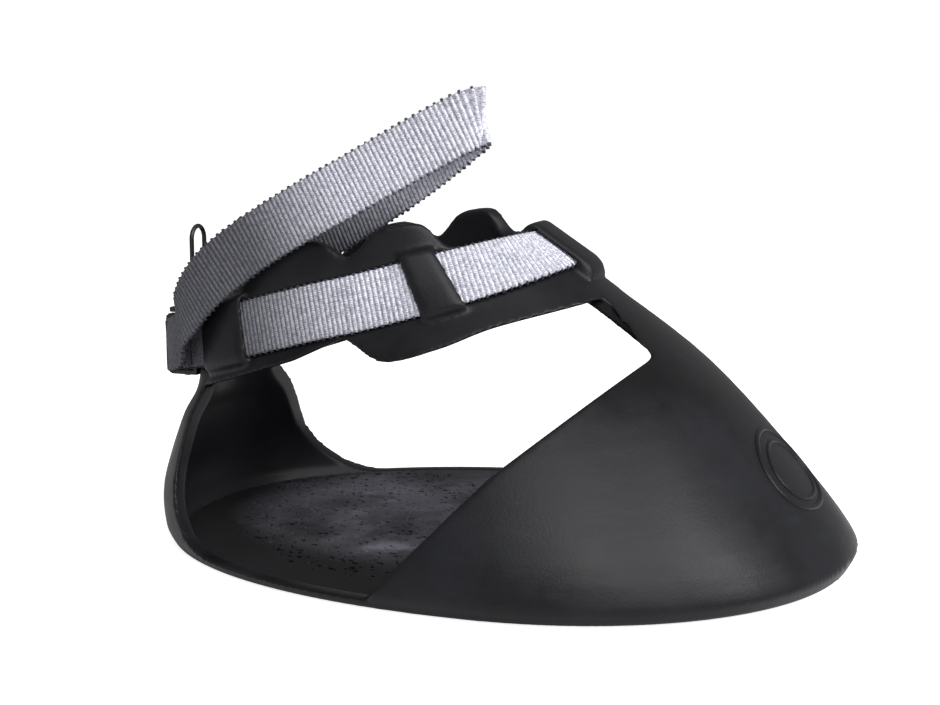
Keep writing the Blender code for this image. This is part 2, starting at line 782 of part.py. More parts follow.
def add_turned(shape, profile, across, beside, closed=False):
    """Turn a profile of radius and centre pairs about its own line."""
    sections = []
    for i in range(ROUND_STEPS):
        a = 2 * math.pi * i / ROUND_STEPS
        out = math.cos(a) * across + math.sin(a) * beside
        sections.append([centre + radius * out for radius, centre in profile])
    rings = [[shape.verts.new(p) for p in section] for section in sections]
    count = len(profile)
    for i in range(ROUND_STEPS):
        one, two = rings[i], rings[(i + 1) % ROUND_STEPS]
        for j in range(count if closed else count - 1):
            k = (j + 1) % count
            shape.faces.new((one[j], one[k], two[k], two[j]))
    if not closed:
        shape.faces.new([ring[0] for ring in rings])
        shape.faces.new([ring[-1] for ring in rings])


def build_lever(steel, pin):
    """Toothed cam with its arm, turning on the pin."""
    half_height = EAR_GAP / 2 - LEVER_SIDE_PLAY
    arm_outer = -LEVER_HUB_RADIUS
    arm_inner = -LEVER_HUB_RADIUS + LEVER_THICKNESS
    tip = LEVER_LENGTH
    arm = [
        (arm_outer, 0),
        (arm_outer - LEVER_TIP_LIFT, tip),
        (arm_inner - LEVER_TIP_LIFT, tip),
        (arm_inner, LEVER_HUB_RADIUS),
    ]
    shape = bmesh.new()
    hub_points = []
    for i in range(ROUND_STEPS):
        a = math.radians(LEVER_ARC_START + LEVER_ARC * i / (ROUND_STEPS - 1))
        hub_points.append((LEVER_HUB_RADIUS * math.cos(a), LEVER_HUB_RADIUS * math.sin(a)))
    outline = arm[:1] + hub_points + arm[3:0:-1]
    sections = [
        [Vector((pin.x + x, pin.y + y, pin.z + z)) for x, y in outline]
        for z in (-half_height, half_height)
    ]
    add_sweep(shape, sections)
    for vertex in shape.verts:
        vertex.co -= pin
    lever = finish("cam_lever", shape, steel)
    lever.location = pin
    notches = bmesh.new()
    tall = (half_height + CUT_OVERRUN) * UP
    add_rod(notches, -tall, tall, PIN_RADIUS + PIN_FIT)
    bore = finish("lever_bore_guide", notches)
    bore.location = pin
    combine(lever, bore)
    notches = bmesh.new()
    for angle in TOOTH_ANGLES:
        a = math.radians(angle)
        spot = Vector((math.cos(a), math.sin(a), 0)) * (LEVER_HUB_RADIUS + TOOTH_LIFT)
        add_rod(notches, spot - tall, spot + tall, TOOTH_DEPTH + TOOTH_LIFT, TOOTH_SIDES)
    teeth = finish("tooth_guide", notches)
    teeth.location = pin
    combine(lever, teeth)
    return lever


def build_wire_loops(wire):
    """Upright wire loops that keep the strap's tail behind the pastern."""
    for name, side in (("wire_loop_near", -1), ("wire_loop_far", 1)):
        eye = lug_centre(side) + LUG_EYE_HEIGHT * UP
        half = WIRE_LOOP_HALF_WIDTH
        rise = WIRE_LOOP_HEIGHT - half
        route = []
        for centre_z, first in ((rise, 0), (half, 180)):
            for i in range(WIRE_ARC_STEPS + 1):
                a = math.radians(first + 180 * i / WIRE_ARC_STEPS)
                squash = 1 if first == 0 else WIRE_FOOT_SHARE
                y = half * math.cos(a)
                z = centre_z + half * math.sin(a) * squash
                route.append(Vector((0, y, z)))
        lowest = min(p.z for p in route)
        route = [p - lowest * UP for p in route]
        sections = []
        for i, point in enumerate(route):
            along = (route[(i + 1) % len(route)] - route[i - 1]).normalized()
            across = Vector((1, 0, 0))
            beside = along.cross(across)
            ring = []
            for k in range(WIRE_SIDES):
                a = 2 * math.pi * k / WIRE_SIDES
                spoke = math.cos(a) * across + math.sin(a) * beside
                ring.append(point + WIRE_RADIUS * spoke)
            sections.append(ring)
        shape = bmesh.new()
        add_sweep(shape, sections, closed=True)
        loop = finish(name, shape, wire)
        loop.location = eye


def main():
    clear_scene()
    rubber = material("black rubber", (0.018, 0.018, 0.02), 0.45)
    sole_rubber = material("sole rubber", (0.02, 0.02, 0.022), 0.75)
    webbing = material("grey webbing", (0.36, 0.37, 0.43), 0.6)
    steel = material("black steel", (0.02, 0.022, 0.024), 0.4, 0.6)
    bright = material("zinc", (0.45, 0.46, 0.48), 0.35, 1.0)
    wire = material("black wire", (0.01, 0.01, 0.012), 0.3, 0.7)
    build_upper(rubber)
    build_sole(sole_rubber)
    build_strap(webbing)
    build_tail(webbing)
    build_buckle(steel, bright)
    build_wire_loops(wire)


main()
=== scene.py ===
# %% [markdown]
# # Dressing a rubber hoof boot
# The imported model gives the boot's exact sizes and its moving bodies. This lesson puts the
# visible surfaces round it: soft moulded rubber, corded webbing, painted and plated steel.
# The frame comes first, because every later piece takes its place from it.

# %% Load the frame
from bisect import bisect_left
from math import copysign, cos, exp, hypot, pi, radians, sin, sqrt

import bmesh
import bpy
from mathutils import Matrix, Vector


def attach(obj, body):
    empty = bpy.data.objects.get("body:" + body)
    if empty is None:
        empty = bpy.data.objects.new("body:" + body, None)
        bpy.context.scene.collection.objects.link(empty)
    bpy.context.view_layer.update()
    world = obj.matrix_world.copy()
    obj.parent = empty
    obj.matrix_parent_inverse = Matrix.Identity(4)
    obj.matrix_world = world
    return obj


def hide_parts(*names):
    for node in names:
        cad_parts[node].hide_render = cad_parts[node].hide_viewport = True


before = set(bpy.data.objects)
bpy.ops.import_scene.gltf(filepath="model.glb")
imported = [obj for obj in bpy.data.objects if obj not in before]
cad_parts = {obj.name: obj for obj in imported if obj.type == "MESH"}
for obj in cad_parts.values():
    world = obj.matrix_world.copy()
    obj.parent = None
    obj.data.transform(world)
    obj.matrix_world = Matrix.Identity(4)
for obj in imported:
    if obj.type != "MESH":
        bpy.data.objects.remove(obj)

MM = 0.001
X_AXIS, Y_AXIS, UP = Vector((1, 0, 0)), Vector((0, 1, 0)), Vector((0, 0, 1))
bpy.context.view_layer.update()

# %% [markdown]
# ## The skin of the upper
# The real upper is one moulding: a toe cap, two quarters, a heel sling and a collar. Its
# outer face could be sculpted, but then nothing else would fit it. Here it is a rule: six
# rings stand one above the other, and a Catmull-Rom curve runs up through them, so the
# strap, its loops and the relief on the toe can all be placed by an angle and a level.

# %% Rings of the upper
# Front, rear, half width and middle of each ring, then its height at the front, the
# sides and the rear, in millimetres
RINGS = (
    (95.0, 94.7, 75.5, 12.0, 0.0, 0.0, 0.0),
    (97.2, 96.9, 77.7, 12.0, 4.0, 4.0, 4.0),
    (85.0, 98.2, 73.5, 8.0, 20.0, 19.0, 15.0),
    (56.5, 93.7, 59.0, -8.0, 51.0, 43.0, 32.0),
    (25.0, 90.5, 39.0, -30.0, 75.5, 57.5, 42.0),
    (8.8, 91.3, 34.0, -37.0, 86.5, 79.0, 64.0),
)
OVAL_POWER = 2.12
COLLAR_BASE_LEVEL, STRAP_LEVEL, COLLAR_TOP_LEVEL = 4.0, 4.5, 5.0
HUMP_ANGLES, HUMP_SPREAD, HUMP_POWER = (67.0, 102.0), 14.0, 4
HUMP_HEIGHT, HUMP_START = 8.0 * MM, 2 / 3
LEVEL_STEP, ANGLE_STEP = 0.05, 1.0


def ring_point(ring, angle):
    """Point of a ring at an angle in degrees from the toe, positive towards +Y."""
    front, rear, half_width, centre, z_front, z_side, z_rear = ring
    cosine, sine = cos(radians(angle)), sin(radians(angle))
    if cosine >= 0:
        reach, rise = front - centre, z_front - z_side
    else:
        reach, rise = rear + centre, z_side - z_rear
    x = centre + copysign(reach * abs(cosine) ** (2 / OVAL_POWER), cosine)
    y = copysign(half_width * abs(sine) ** (2 / OVAL_POWER), sine)
    return Vector((x, y, z_side + rise * cosine)) * MM


def smooth_between(before, start, end, after, share):
    """Catmull-Rom value between start and end."""
    return 0.5 * (
        2 * start
        + (end - before) * share
        + (2 * before - 5 * start + 4 * end - after) * share**2
        + (3 * start - before - 3 * end + after) * share**3
    )


def padded(points):
    """The points with one more before and after them, in line with the two at that end."""
    return [2 * points[0] - points[1], *points, 2 * points[-1] - points[-2]]


def skin(angle, level):
    """Point of the upper's outer surface; level counts rings up from the ground."""
    points = padded([ring_point(ring, angle) for ring in RINGS])
    span = min(int(level), len(RINGS) - 2)
    found = smooth_between(*points[span : span + 4], level - span)
    over = max((level - COLLAR_BASE_LEVEL - HUMP_START) / (1 - HUMP_START), 0)
    side = abs((angle + 180) % 360 - 180)
    away = [abs(side - peak) / HUMP_SPREAD for peak in HUMP_ANGLES]
    return found + over * HUMP_HEIGHT * sum(exp(-(a**HUMP_POWER)) for a in away) * UP


def skin_frame(angle, level):
    """Point, outward normal and upward direction of the outer surface."""
    up = skin(angle, level + LEVEL_STEP) - skin(angle, level - LEVEL_STEP)
    along = skin(angle + ANGLE_STEP, level) - skin(angle - ANGLE_STEP, level)
    up.normalize()
    return skin(angle, level), along.cross(up).normalized(), up


print("Toe at the ground:", [round(v / MM, 1) for v in skin(0, 0)])

# %% Helpers for meshes
ROUTE_STEPS = 8
ROD_SIDES = 24
BEVELLED_ANGLE, ROUND_ANGLE = 50.0, 80.0


def add_object(name, data):
    """An object of some data, put into the scene."""
    made = bpy.data.objects.new(name, data)
    bpy.context.scene.collection.objects.link(made)
    return made


def shade(mesh, smooth_angle):
    """Shade a mesh smooth over edges up to an angle in degrees."""
    mesh.shade_smooth()
    mesh.set_sharp_from_angle(angle=radians(smooth_angle))


def to_object(name, shape, smooth_angle=40.0, closed=True, finish=None):
    """A bmesh as an object, shaded smooth up to an angle; a closed one faces outwards."""
    if closed:
        bmesh.ops.recalc_face_normals(shape, faces=shape.faces)
    mesh = bpy.data.meshes.new(name)
    shape.to_mesh(mesh)
    shape.free()
    shade(mesh, smooth_angle)
    if finish:
        mesh.materials.append(finish)
    return add_object(name, mesh)


def apply_modifiers(made):
    """Swap an object's mesh for what its modifiers make of it."""
    bpy.context.view_layer.update()
    evaluated = made.evaluated_get(bpy.context.evaluated_depsgraph_get())
    mesh = bpy.data.meshes.new_from_object(evaluated)
    made.modifiers.clear()
    made.data = mesh


def modify(made, kind, **options):
    """Apply one modifier to an object for good."""
    modifier = made.modifiers.new(kind.lower(), kind)
    for name, value in options.items():
        setattr(modifier, name, value)
    apply_modifiers(made)


def triangles(made):
    return sum(len(face.vertices) - 2 for face in made.data.polygons)


def rectangle(left, right, low, high):
    return (left, low), (right, low), (right, high), (left, high)


def circle(centre, radius, across, beside, sides, start=0.0):
    """Points round a centre; directions of two different lengths make it an oval."""
    turns = [2 * pi * (i + start) / sides for i in range(sides)]
    return [centre + radius * (cos(a) * across + sin(a) * beside) for a in turns]


def across_frame(place, pairs):
    """Points beside a surface frame, by pairs of distances outward and upward."""
    point, normal, up = place
    return [point + normal * out + up * side for out, side in pairs]


def add_sweep(shape, sections, ends="flat"):
    """Join equal sections into a tube with flat, open or joined ends; gives its rings."""
    rings = [[shape.verts.new(p) for p in section] for section in sections]
    pairs = list(zip(rings, rings[1:]))
    if ends == "joined":
        pairs.append((rings[-1], rings[0]))
    for one, two in pairs:
        for i in range(len(one)):
            j = (i + 1) % len(one)
            shape.faces.new((one[i], one[j], two[j], two[i]))
    if ends == "flat":
        shape.faces.new(rings[0])
        shape.faces.new(rings[-1])
    return rings


def swept(name, sweeps, ends="flat", **options):
    """An object of one or more sweeps, each a list of equal sections."""
    shape = bmesh.new()
    for sections in sweeps:
        add_sweep(shape, sections, ends)
    return to_object(name, shape, **options)


def rod(start, end, radius):
    """Both ends of a cylinder."""
    along = (end - start).normalized()
    across = along.orthogonal().normalized()
    return [circle(p, radius, across, along.cross(across), ROD_SIDES) for p in (start, end)]


def combine(target, tool, operation="DIFFERENCE", crossing=False):
    """Cut a tool from target, or join it, and remove the tool; a crossing tool meets itself."""
    options = {"operation": operation, "solver": "EXACT", "use_self": crossing}
    modify(target, "BOOLEAN", object=tool, **options)
    bpy.data.objects.remove(tool)


def bevel(made, width, segments=3, angle=35.0):
    """Round an object's edges for good."""
    limit = {"limit_method": "ANGLE", "angle_limit": radians(angle)}
    modify(made, "BEVEL", width=width, segments=segments, **limit)
    shade(made.data, BEVELLED_ANGLE)
    return made


def smooth_route(points):
    """A smooth curve through the points, with the same steps in each span."""
    wide = padded(points)
    curve = []
    for i in range(len(points) - 1):
        for step in range(ROUTE_STEPS):
            curve.append(smooth_between(*wide[i : i + 4], step / ROUTE_STEPS))
    return [*curve, points[-1]]


# %% [markdown]
# ## Node helpers
# Shader trees and geometry trees are wired by the same small function. It makes a node,
# sets its options and fills its inputs, so that each effect reads as a few lines. A
# surface is a group for its colour, gloss and relief, and plain values on its shader.

# %% Wire nodes
FLOAT, COLOUR, VECTOR = "NodeSocketFloat", "NodeSocketColor", "NodeSocketVector"
SURFACE = {COLOUR: ("Colour",), FLOAT: ("Roughness", "Height")}


def fill(tree, values, sockets):
    """Link results to sockets, by name or position, or set plain values on them."""
    for key, value in values.items():
        if isinstance(value, bpy.types.NodeSocket):
            tree.links.new(value, sockets[key])
        elif sockets[key].type == "RGBA":
            sockets[key].default_value = (*value, 1)
        else:
            sockets[key].default_value = value


def node(tree, kind, inputs, output=0, **options):
    """A new node with its options and inputs; gives one of its outputs."""
    made = tree.nodes.new(kind)
    for name, value in options.items():
        setattr(made, name, value)
    fill(tree, inputs, made.inputs)
    return made.outputs[output]


def maths(tree, operation, *values):
    return node(tree, "ShaderNodeMath", dict(enumerate(values)), operation=operation)


def mixed(tree, factor, one, two):
    """Colour between one and two."""
    return node(tree, "ShaderNodeMix", {0: factor, 6: one, 7: two}, 2, data_type="RGBA")


def ranged(tree, value, low, high, start=0.0, end=1.0):
    """Value moved from the range low to high into start to end, smoothly and clamped."""
    inputs = dict(enumerate((value, low, high, start, end)))
    return node(tree, "ShaderNodeMapRange", inputs, interpolation_type="SMOOTHSTEP")


def scaled(tree, place, scale, shift=(0, 0, 0)):
    """A place scaled along each axis and then shifted."""
    inputs = {"Vector": place, "Location": shift, "Scale": scale}
    return node(tree, "ShaderNodeMapping", inputs)


def noise(tree, place, scale, detail, rough):
    inputs = {"Vector": place, "Scale": scale, "Detail": detail, "Roughness": rough}
    return node(tree, "ShaderNodeTexNoise", inputs)


def new_group(name, inputs, outputs=SURFACE, family="ShaderNodeTree"):
    """A node group with inputs and outputs named by kind; gives its tree and both ends."""
    tree = bpy.data.node_groups.new(name, family)
    for way, sockets in (("INPUT", inputs), ("OUTPUT", outputs)):
        for kind, labels in sockets.items():
            for label in labels:
                tree.interface.new_socket(label, in_out=way, socket_type=kind)
    return tree, tree.nodes.new("NodeGroupInput").outputs, tree.nodes.new("NodeGroupOutput").inputs


def principled(name, plain):
    """A material with a Principled shader whose plain values are set on its sockets."""
    made = bpy.data.materials.new(name)
    made.use_nodes = True
    shader = made.node_tree.nodes["Principled BSDF"].inputs
    fill(made.node_tree, plain, shader)
    return made, made.node_tree, shader


def surface(name, effect, values, bump, depth, plain, layers=()):
    """A material whose colour, gloss and relief come from a shared effect."""
    made, tree, shader = principled(name, plain)
    place = node(tree, "ShaderNodeTexCoord", {}, "Object")
    given = dict(enumerate((place, *values)))
    for label, layer in layers:
        given[label] = node(tree, "ShaderNodeAttribute", {}, "Fac", attribute_name=layer)
    colour = node(tree, "ShaderNodeGroup", given, "Colour", node_tree=effect)
    found = colour.node.outputs
    relief = {"Height": found["Height"], "Strength": bump, "Distance": depth}
    normal = node(tree, "ShaderNodeBump", relief)
    results = {"Base Color": colour, "Roughness": found["Roughness"], "Normal": normal}
    fill(tree, results, shader)
    return made


# %% [markdown]
# ## Rubber
# Moulded rubber is never one black. Its tone drifts over a hand's width, release agent and
# handling leave paler clouds, and a fine pebble breaks the highlight. The same group makes
# the upper, the sole and the relief on the toe, each with its own values. On the sole the
# pale tone is painted light where the floor faces the lamps, held to an oval patch in its middle.

# %% The rubber group
# Each noise has a scale, a detail and a roughness
CLOUDS, SPECKS, PEBBLES = (26.0, 4.0, 0.6), (700.0, 2.0, 0.5), (1500.0, 2.0, 0.5)
STREAK_SCALE, STREAKS = (60.0, 60.0, 420.0), (1.0, 3.0, 0.6)
# An oval of painted light on the floor of the sole: its reach, its centre and its soft ragged edge
PATCH_REACH, PATCH_CENTRE = (0.080, 0.062), (-0.008, 0.014)
PATCH_SCALE = (1 / PATCH_REACH[0], 1 / PATCH_REACH[1], 0.0)
PATCH_SHIFT = (-PATCH_CENTRE[0] / PATCH_REACH[0], -PATCH_CENTRE[1] / PATCH_REACH[1], 0.0)
PATCH_EDGE, PATCH_RAGGED = (1.28, 0.98), 0.5
# Ranges of the noises that count, and each one's share in the tone and in the relief
STREAK_RANGE, CLOUD_TONE, CLOUD_GLOSS = (0.56, 0.74), (0.32, 0.68, 0.0, 0.75), (0.3, 0.7)
SPECK_TONE, PEBBLE_RISE, CLOUD_RISE, RUBBER_DEPTH = 0.18, 0.6, 0.8, 0.2 * MM


def rubber_group():
    """Clouds, specks and streaks between two tones; a patch of painted light holds them to an
    oval.
    """
    amounts = ("Scuff Amount", "Roughness Low", "Roughness High", "Painted Light Patch")
    sockets = {VECTOR: ("Place",), COLOUR: ("Dark", "Pale"), FLOAT: amounts}
    tree, given, out = new_group("moulded_rubber", sockets)
    place = given["Place"]
    cloud = noise(tree, place, *CLOUDS)
    centred = scaled(tree, place, PATCH_SCALE, PATCH_SHIFT)
    reach = node(tree, "ShaderNodeVectorMath", {0: centred}, "Value", operation="LENGTH")
    reach = maths(tree, "MULTIPLY_ADD", cloud, PATCH_RAGGED, reach)
    inside = ranged(tree, reach, *PATCH_EDGE, -1.0, 0.0)
    patch = maths(tree, "MULTIPLY_ADD", inside, given["Painted Light Patch"], 1.0)
    speck = noise(tree, place, *SPECKS)
    streak = noise(tree, scaled(tree, place, STREAK_SCALE), *STREAKS)
    streak = ranged(tree, streak, *STREAK_RANGE)
    scuffs = maths(tree, "MULTIPLY", streak, given["Scuff Amount"])
    tone = ranged(tree, cloud, *CLOUD_TONE)
    tone = maths(tree, "ADD", tone, maths(tree, "MULTIPLY", speck, SPECK_TONE))
    tone = maths(tree, "MULTIPLY", maths(tree, "ADD", tone, scuffs), patch)
    colour = mixed(tree, maths(tree, "MINIMUM", tone, 1.0), given["Dark"], given["Pale"])
    low = given["Roughness Low"]
    drift = maths(tree, "SUBTRACT", given["Roughness High"], low)
    rough = maths(tree, "MULTIPLY_ADD", ranged(tree, cloud, *CLOUD_GLOSS), drift, low)
    pebble = noise(tree, place, *PEBBLES)
    height = maths(tree, "MULTIPLY", cloud, CLOUD_RISE)
    height = maths(tree, "MULTIPLY_ADD", pebble, PEBBLE_RISE, height)
    fill(tree, {"Colour": colour, "Roughness": rough, "Height": height}, out)
    return tree


# Values are two tones, scuffs, least and greatest roughness, and the share held to the oval of
# painted light
RUBBER, plain = rubber_group(), {"Specular IOR Level": 0.22}
values = (0.003, 0.003, 0.0034), (0.012, 0.0124, 0.016), 0.3, 0.34, 0.48, 0.0
upper_rubber = surface("upper_rubber", RUBBER, values, 0.35, RUBBER_DEPTH, plain)
# The sole's pale tone is painted light where its floor faces the lamps, held to the oval
values = (0.006, 0.006, 0.007), (0.15, 0.15, 0.18), 0.6, 0.6, 0.85, 1.0
sole_rubber = surface("sole_floor_rubber", RUBBER, values, 0.8, RUBBER_DEPTH, plain)
print("Rubber finishes:", upper_rubber.name, sole_rubber.name)

# %% [markdown]
# ## The moulded upper
# The CAD solid has flat facets and sharp cut edges. A moulding has neither: every edge
# carries a small radius and every face flows into the next. Bevels would have to cross
# hundreds of Boolean edges, so the shape is built again from the same rule with many more
# points, cut the same way, and then turned into fine voxels, which round all its edges at
# once. A little smoothing takes the steps out, and Decimate gives back the spare triangles.

# %% Wall of the upper
WALL = 4.2 * MM
WALL_COLUMNS = 180
ROWS_PER_BAND = (1, 4, 6, 6, 8)

levels = [band + row / rows for band, rows in enumerate(ROWS_PER_BAND) for row in range(rows)]
levels.append(COLLAR_TOP_LEVEL)
column_angles = [360 * i / WALL_COLUMNS for i in range(WALL_COLUMNS)]
rows = [[skin(angle, level) for angle in column_angles] for level in levels]
boot_body = swept("boot_body", [rows], "open", closed=False)
modify(boot_body, "SOLIDIFY", thickness=WALL, offset=-1, use_even_offset=True)
print("Wall:", triangles(boot_body), "triangles")

# %% Openings in the sides
# Corners of a window as distances forward and up, in millimetres
WINDOW_FRONT = ((46.3, 56.3), (18.0, 32.5), (-9.5, 2.9))
HEEL_CENTRE, HEEL_RADIUS, HEEL_ARC_STEPS = (-59.5, 23.9), 21.0, 14
WINDOW_HEEL = ((-80.5, 42.0), (-47.0, 53.0))
WINDOW_BROW = ((-32.0, 60.0), (-19.0, 55.2), (-4.5, 58.8), (9.0, 64.3), (31.0, 70.0))
NOSE_HALF_WIDTH, SIDE_REACH = 9.0 * MM, 84.0 * MM

outline = list(WINDOW_FRONT)
for i in range(HEEL_ARC_STEPS + 1):
    turn = radians(270 - 90 * i / HEEL_ARC_STEPS)
    x = HEEL_CENTRE[0] + HEEL_RADIUS * cos(turn)
    outline.append((x, HEEL_CENTRE[1] + HEEL_RADIUS * sin(turn)))
outline += WINDOW_HEEL
outline += [(p.x, p.y) for p in smooth_route([Vector((x, z, 0)) for x, z in WINDOW_BROW])]
windows = [
    [[Vector((x * MM, y, z * MM)) for x, z in outline] for y in ends]
    for ends in ((-SIDE_REACH, -NOSE_HALF_WIDTH), (NOSE_HALF_WIDTH, SIDE_REACH))
]
combine(boot_body, swept("window_tool", windows))
print("Window outline:", len(outline), "points")

# %% Loops for the strap, lugs for the wire
GAP = 0.3 * MM
WEBBING_WIDTH, WEBBING_THICKNESS = 15.0 * MM, 1.8 * MM
HALF_WEB, HALF_THICKNESS = WEBBING_WIDTH / 2, WEBBING_THICKNESS / 2
STRAP_INNER = -0.1 * MM
STRAP_MIDDLE = STRAP_INNER + HALF_THICKNESS
CHANNEL_OUTER = STRAP_INNER + WEBBING_THICKNESS + GAP
LOOP_OUTER = CHANNEL_OUTER + 1.5 * MM
LOOP_SPANS = ((-9.5, 9.5), (55.0, 68.0), (-68.0, -55.0), (118.0, 140.0), (-140.0, -118.0))
LOOP_STEP, LOOP_TAPER, LOOP_END_DROP, LOOP_SINK = 1.0, 2.0, 1.0 * MM, 1.2 * MM
LOOP_SPARE, FRONT_LOW_SPARE, FRONT_ANGLE = 2.6 * MM, 6.0 * MM, 15.0
# Shares of a loop's height and of its spare width, from its foot to its crown
LOOP_SLOPE = ((0.25, 1.0), (0.8, 0.62), (1.0, 0.2))
WIRE_LOOP_ANGLE, LUG_INSET = 158.0, 0.5 * MM
# Heights and half depths of a lug above its foot, and its half width, in millimetres
LUG_ROWS, LUG_HALF_WIDTH = ((-1.2, 2.0), (2.4, 2.0), (3.6, 1.7), (4.2, 1.0)), 1.9


def steps_between(first, last, step):
    count = max(round(abs(last - first) / step), 1)
    return [first + (last - first) * i / count for i in range(count + 1)]


def lug_centre(side):
    """Foot of the lug that carries a wire loop, on the collar's rear edge."""
    top, normal, _ = skin_frame(side * WIRE_LOOP_ANGLE, COLLAR_TOP_LEVEL - LEVEL_STEP)
    return top - normal * LUG_INSET


def faired_outline(height, low_spare):
    """Outline of a loop whose long edges slope down into the collar."""
    pairs = []
    for side, spare in ((-1, low_spare), (1, LOOP_SPARE)):
        slope = [(-LOOP_SINK, spare)]
        slope += [(up * height, out * spare) for up, out in LOOP_SLOPE]
        pairs += [(up, side * (HALF_WEB + out)) for up, out in slope[::-side]]
    return pairs


loops = []
for first, last in LOOP_SPANS:
    sections = []
    for angle in steps_between(first, last, LOOP_STEP):
        edge = min(abs(angle - first), abs(angle - last))
        height = LOOP_OUTER - max(0.0, 1.0 - edge / LOOP_TAPER) * LOOP_END_DROP
        low_spare = FRONT_LOW_SPARE if abs(angle) < FRONT_ANGLE else LOOP_SPARE
        outline = faired_outline(height, low_spare)
        sections.append(across_frame(skin_frame(angle, STRAP_LEVEL), outline))
    loops.append(sections)
for side in (-1, 1):
    foot = lug_centre(side)
    sections = []
    for height, half_depth in LUG_ROWS:
        corners = rectangle(-half_depth, half_depth, -LUG_HALF_WIDTH, LUG_HALF_WIDTH)
        sections.append([foot + Vector((a, b, height)) * MM for a, b in corners])
    loops.append(sections)
combine(boot_body, swept("loop_tool", loops), "UNION")
print("Strap loops:", len(LOOP_SPANS))

# %% Channel, buckle seat and holes
CHANNEL_LAST_ANGLE, CHANNEL_STEP = 162.5, 1.5
SEAT_DEPTH, SEAT_SINK = 6.0 * MM, 1.2 * MM
EAR_OUTER, BASE_HALF_LENGTH = 9.8 * MM, 10.0 * MM
RIVET_HALF_SPACING, RIVET_HOLE_RADIUS, RIVET_HOLE_ENDS = 4.5 * MM, 1.8 * MM, (-6 * MM, 10 * MM)
LUG_EYE_HEIGHT, LUG_HOLE_RADIUS, LUG_HOLE_REACH = 2.4 * MM, 1.0 * MM, 4.0 * MM

REAR = skin(180, STRAP_LEVEL)
collar_levels = [COLLAR_BASE_LEVEL + LEVEL_STEP * i for i in range(round(1 / LEVEL_STEP))]
rear_line = [skin(180, level).x for level in collar_levels]
PAD_X, INSIDE_X = min(rear_line) + SEAT_SINK, max(rear_line) + WALL
outline = rectangle(STRAP_INNER - GAP, CHANNEL_OUTER, -HALF_WEB - GAP, HALF_WEB + GAP)
channel_angles = steps_between(-CHANNEL_LAST_ANGLE, CHANNEL_LAST_ANGLE, CHANNEL_STEP)
channel = [across_frame(skin_frame(angle, STRAP_LEVEL), outline) for angle in channel_angles]
combine(boot_body, swept("channel_tool", [channel]))
wide, tall = BASE_HALF_LENGTH + GAP, EAR_OUTER + GAP
corners = rectangle(-wide, wide, -tall, tall)
seat_ends = (PAD_X - SEAT_DEPTH, PAD_X)
seat = [[Vector((x, y, REAR.z + z)) for y, z in corners] for x in seat_ends]
combine(boot_body, swept("seat_tool", [seat]))
holes = []
for side in (-1, 1):
    middle = REAR + side * RIVET_HALF_SPACING * UP
    start, end = (middle + reach * X_AXIS for reach in RIVET_HOLE_ENDS)
    eye, reach = lug_centre(side) + LUG_EYE_HEIGHT * UP, LUG_HOLE_REACH * Y_AXIS
    holes += [rod(start, end, RIVET_HOLE_RADIUS), rod(eye - reach, eye + reach, LUG_HOLE_RADIUS)]
combine(boot_body, swept("hole_tool", holes))
print("Cut upper:", triangles(boot_body), "triangles")

# %% Soften the moulding
VOXEL = 0.66 * MM
SOFTENING_STEPS = 11
FINE_TRIANGLES = 185000

modify(boot_body, "REMESH", mode="VOXEL", voxel_size=VOXEL, use_smooth_shade=True)
modify(boot_body, "SMOOTH", factor=0.5, iterations=SOFTENING_STEPS)
fine = triangles(boot_body)
modify(boot_body, "DECIMATE", ratio=min(1.0, FINE_TRIANGLES / fine))
boot_body.data.shade_smooth()
boot_body.data.materials.append(upper_rubber)
print("Moulded upper:", fine, "->", triangles(boot_body), "triangles")

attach(boot_body, "boot")
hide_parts("boot_upper")

# %% [markdown]
# ## The relief on the toe
# The toe carries a flat oval moulded into the rubber. Here it is two plain raised rings and
# nothing inside them. They follow the skin: each point of the oval is an angle and a level,
# so the rings bend with the toe, and their feet sink a little into the wall.

# %% Toe oval
OVAL_LEVEL, OVAL_HALF_LEVELS, OVAL_HALF_ANGLE = 2.2, 0.32, 13.0
# Share of the oval's full size, then half width and rise in millimetres
OVAL_RINGS = ((1.0, 0.8, 0.6), (0.72, 0.6, 0.5))
OVAL_STEPS, RING_SIDES, RING_SINK = 120, 10, 0.05 * MM
TURN_STEP = 0.02


def oval_frame(turn, size):
    """Frame on the skin at a turn round the oval, at a share of its full size."""
    angle = OVAL_HALF_ANGLE * size * cos(turn)
    return skin_frame(angle, OVAL_LEVEL + OVAL_HALF_LEVELS * size * sin(turn))


rings = []
for size, half_width, rise in OVAL_RINGS:
    sections = []
    for i in range(OVAL_STEPS):
        turn = 2 * pi * i / OVAL_STEPS
        point, normal, _ = oval_frame(turn, size)
        ahead = oval_frame(turn + TURN_STEP, size)[0] - oval_frame(turn - TURN_STEP, size)[0]
        across = ahead.cross(normal).normalized()
        centre = point - normal * RING_SINK
        sections.append(circle(centre, MM, across * half_width, normal * rise, RING_SIDES))
    rings.append(sections)
toe_oval = swept("toe_oval", rings, "joined", smooth_angle=ROUND_ANGLE, finish=upper_rubber)
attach(toe_oval, "boot")
print("Toe oval:", triangles(toe_oval), "triangles")

# %% [markdown]
# ## A tree that repeats a shape
# Ribs of webbing, stitches, edge yarns and pits are all one small shape, set down again and
# again. Geometry Nodes do that: a mesh of loose points says where, two vectors on each
# point say which way is out and which way is across, and the tree sets the shape on each
# point with a little play in size and lean. Realize Instances turns it into plain faces.

# %% The repeating tree
GEOMETRY = "NodeSocketGeometry"
REPEAT_INPUTS = {
    GEOMETRY: ("Points",),
    "NodeSocketObject": ("Shape",),
    FLOAT: ("Smallest", "Largest", "Lean"),
    "NodeSocketInt": ("Seed",),
    "NodeSocketMaterial": ("Finish",),
}
SIZE_SEED_STEP = 7.0


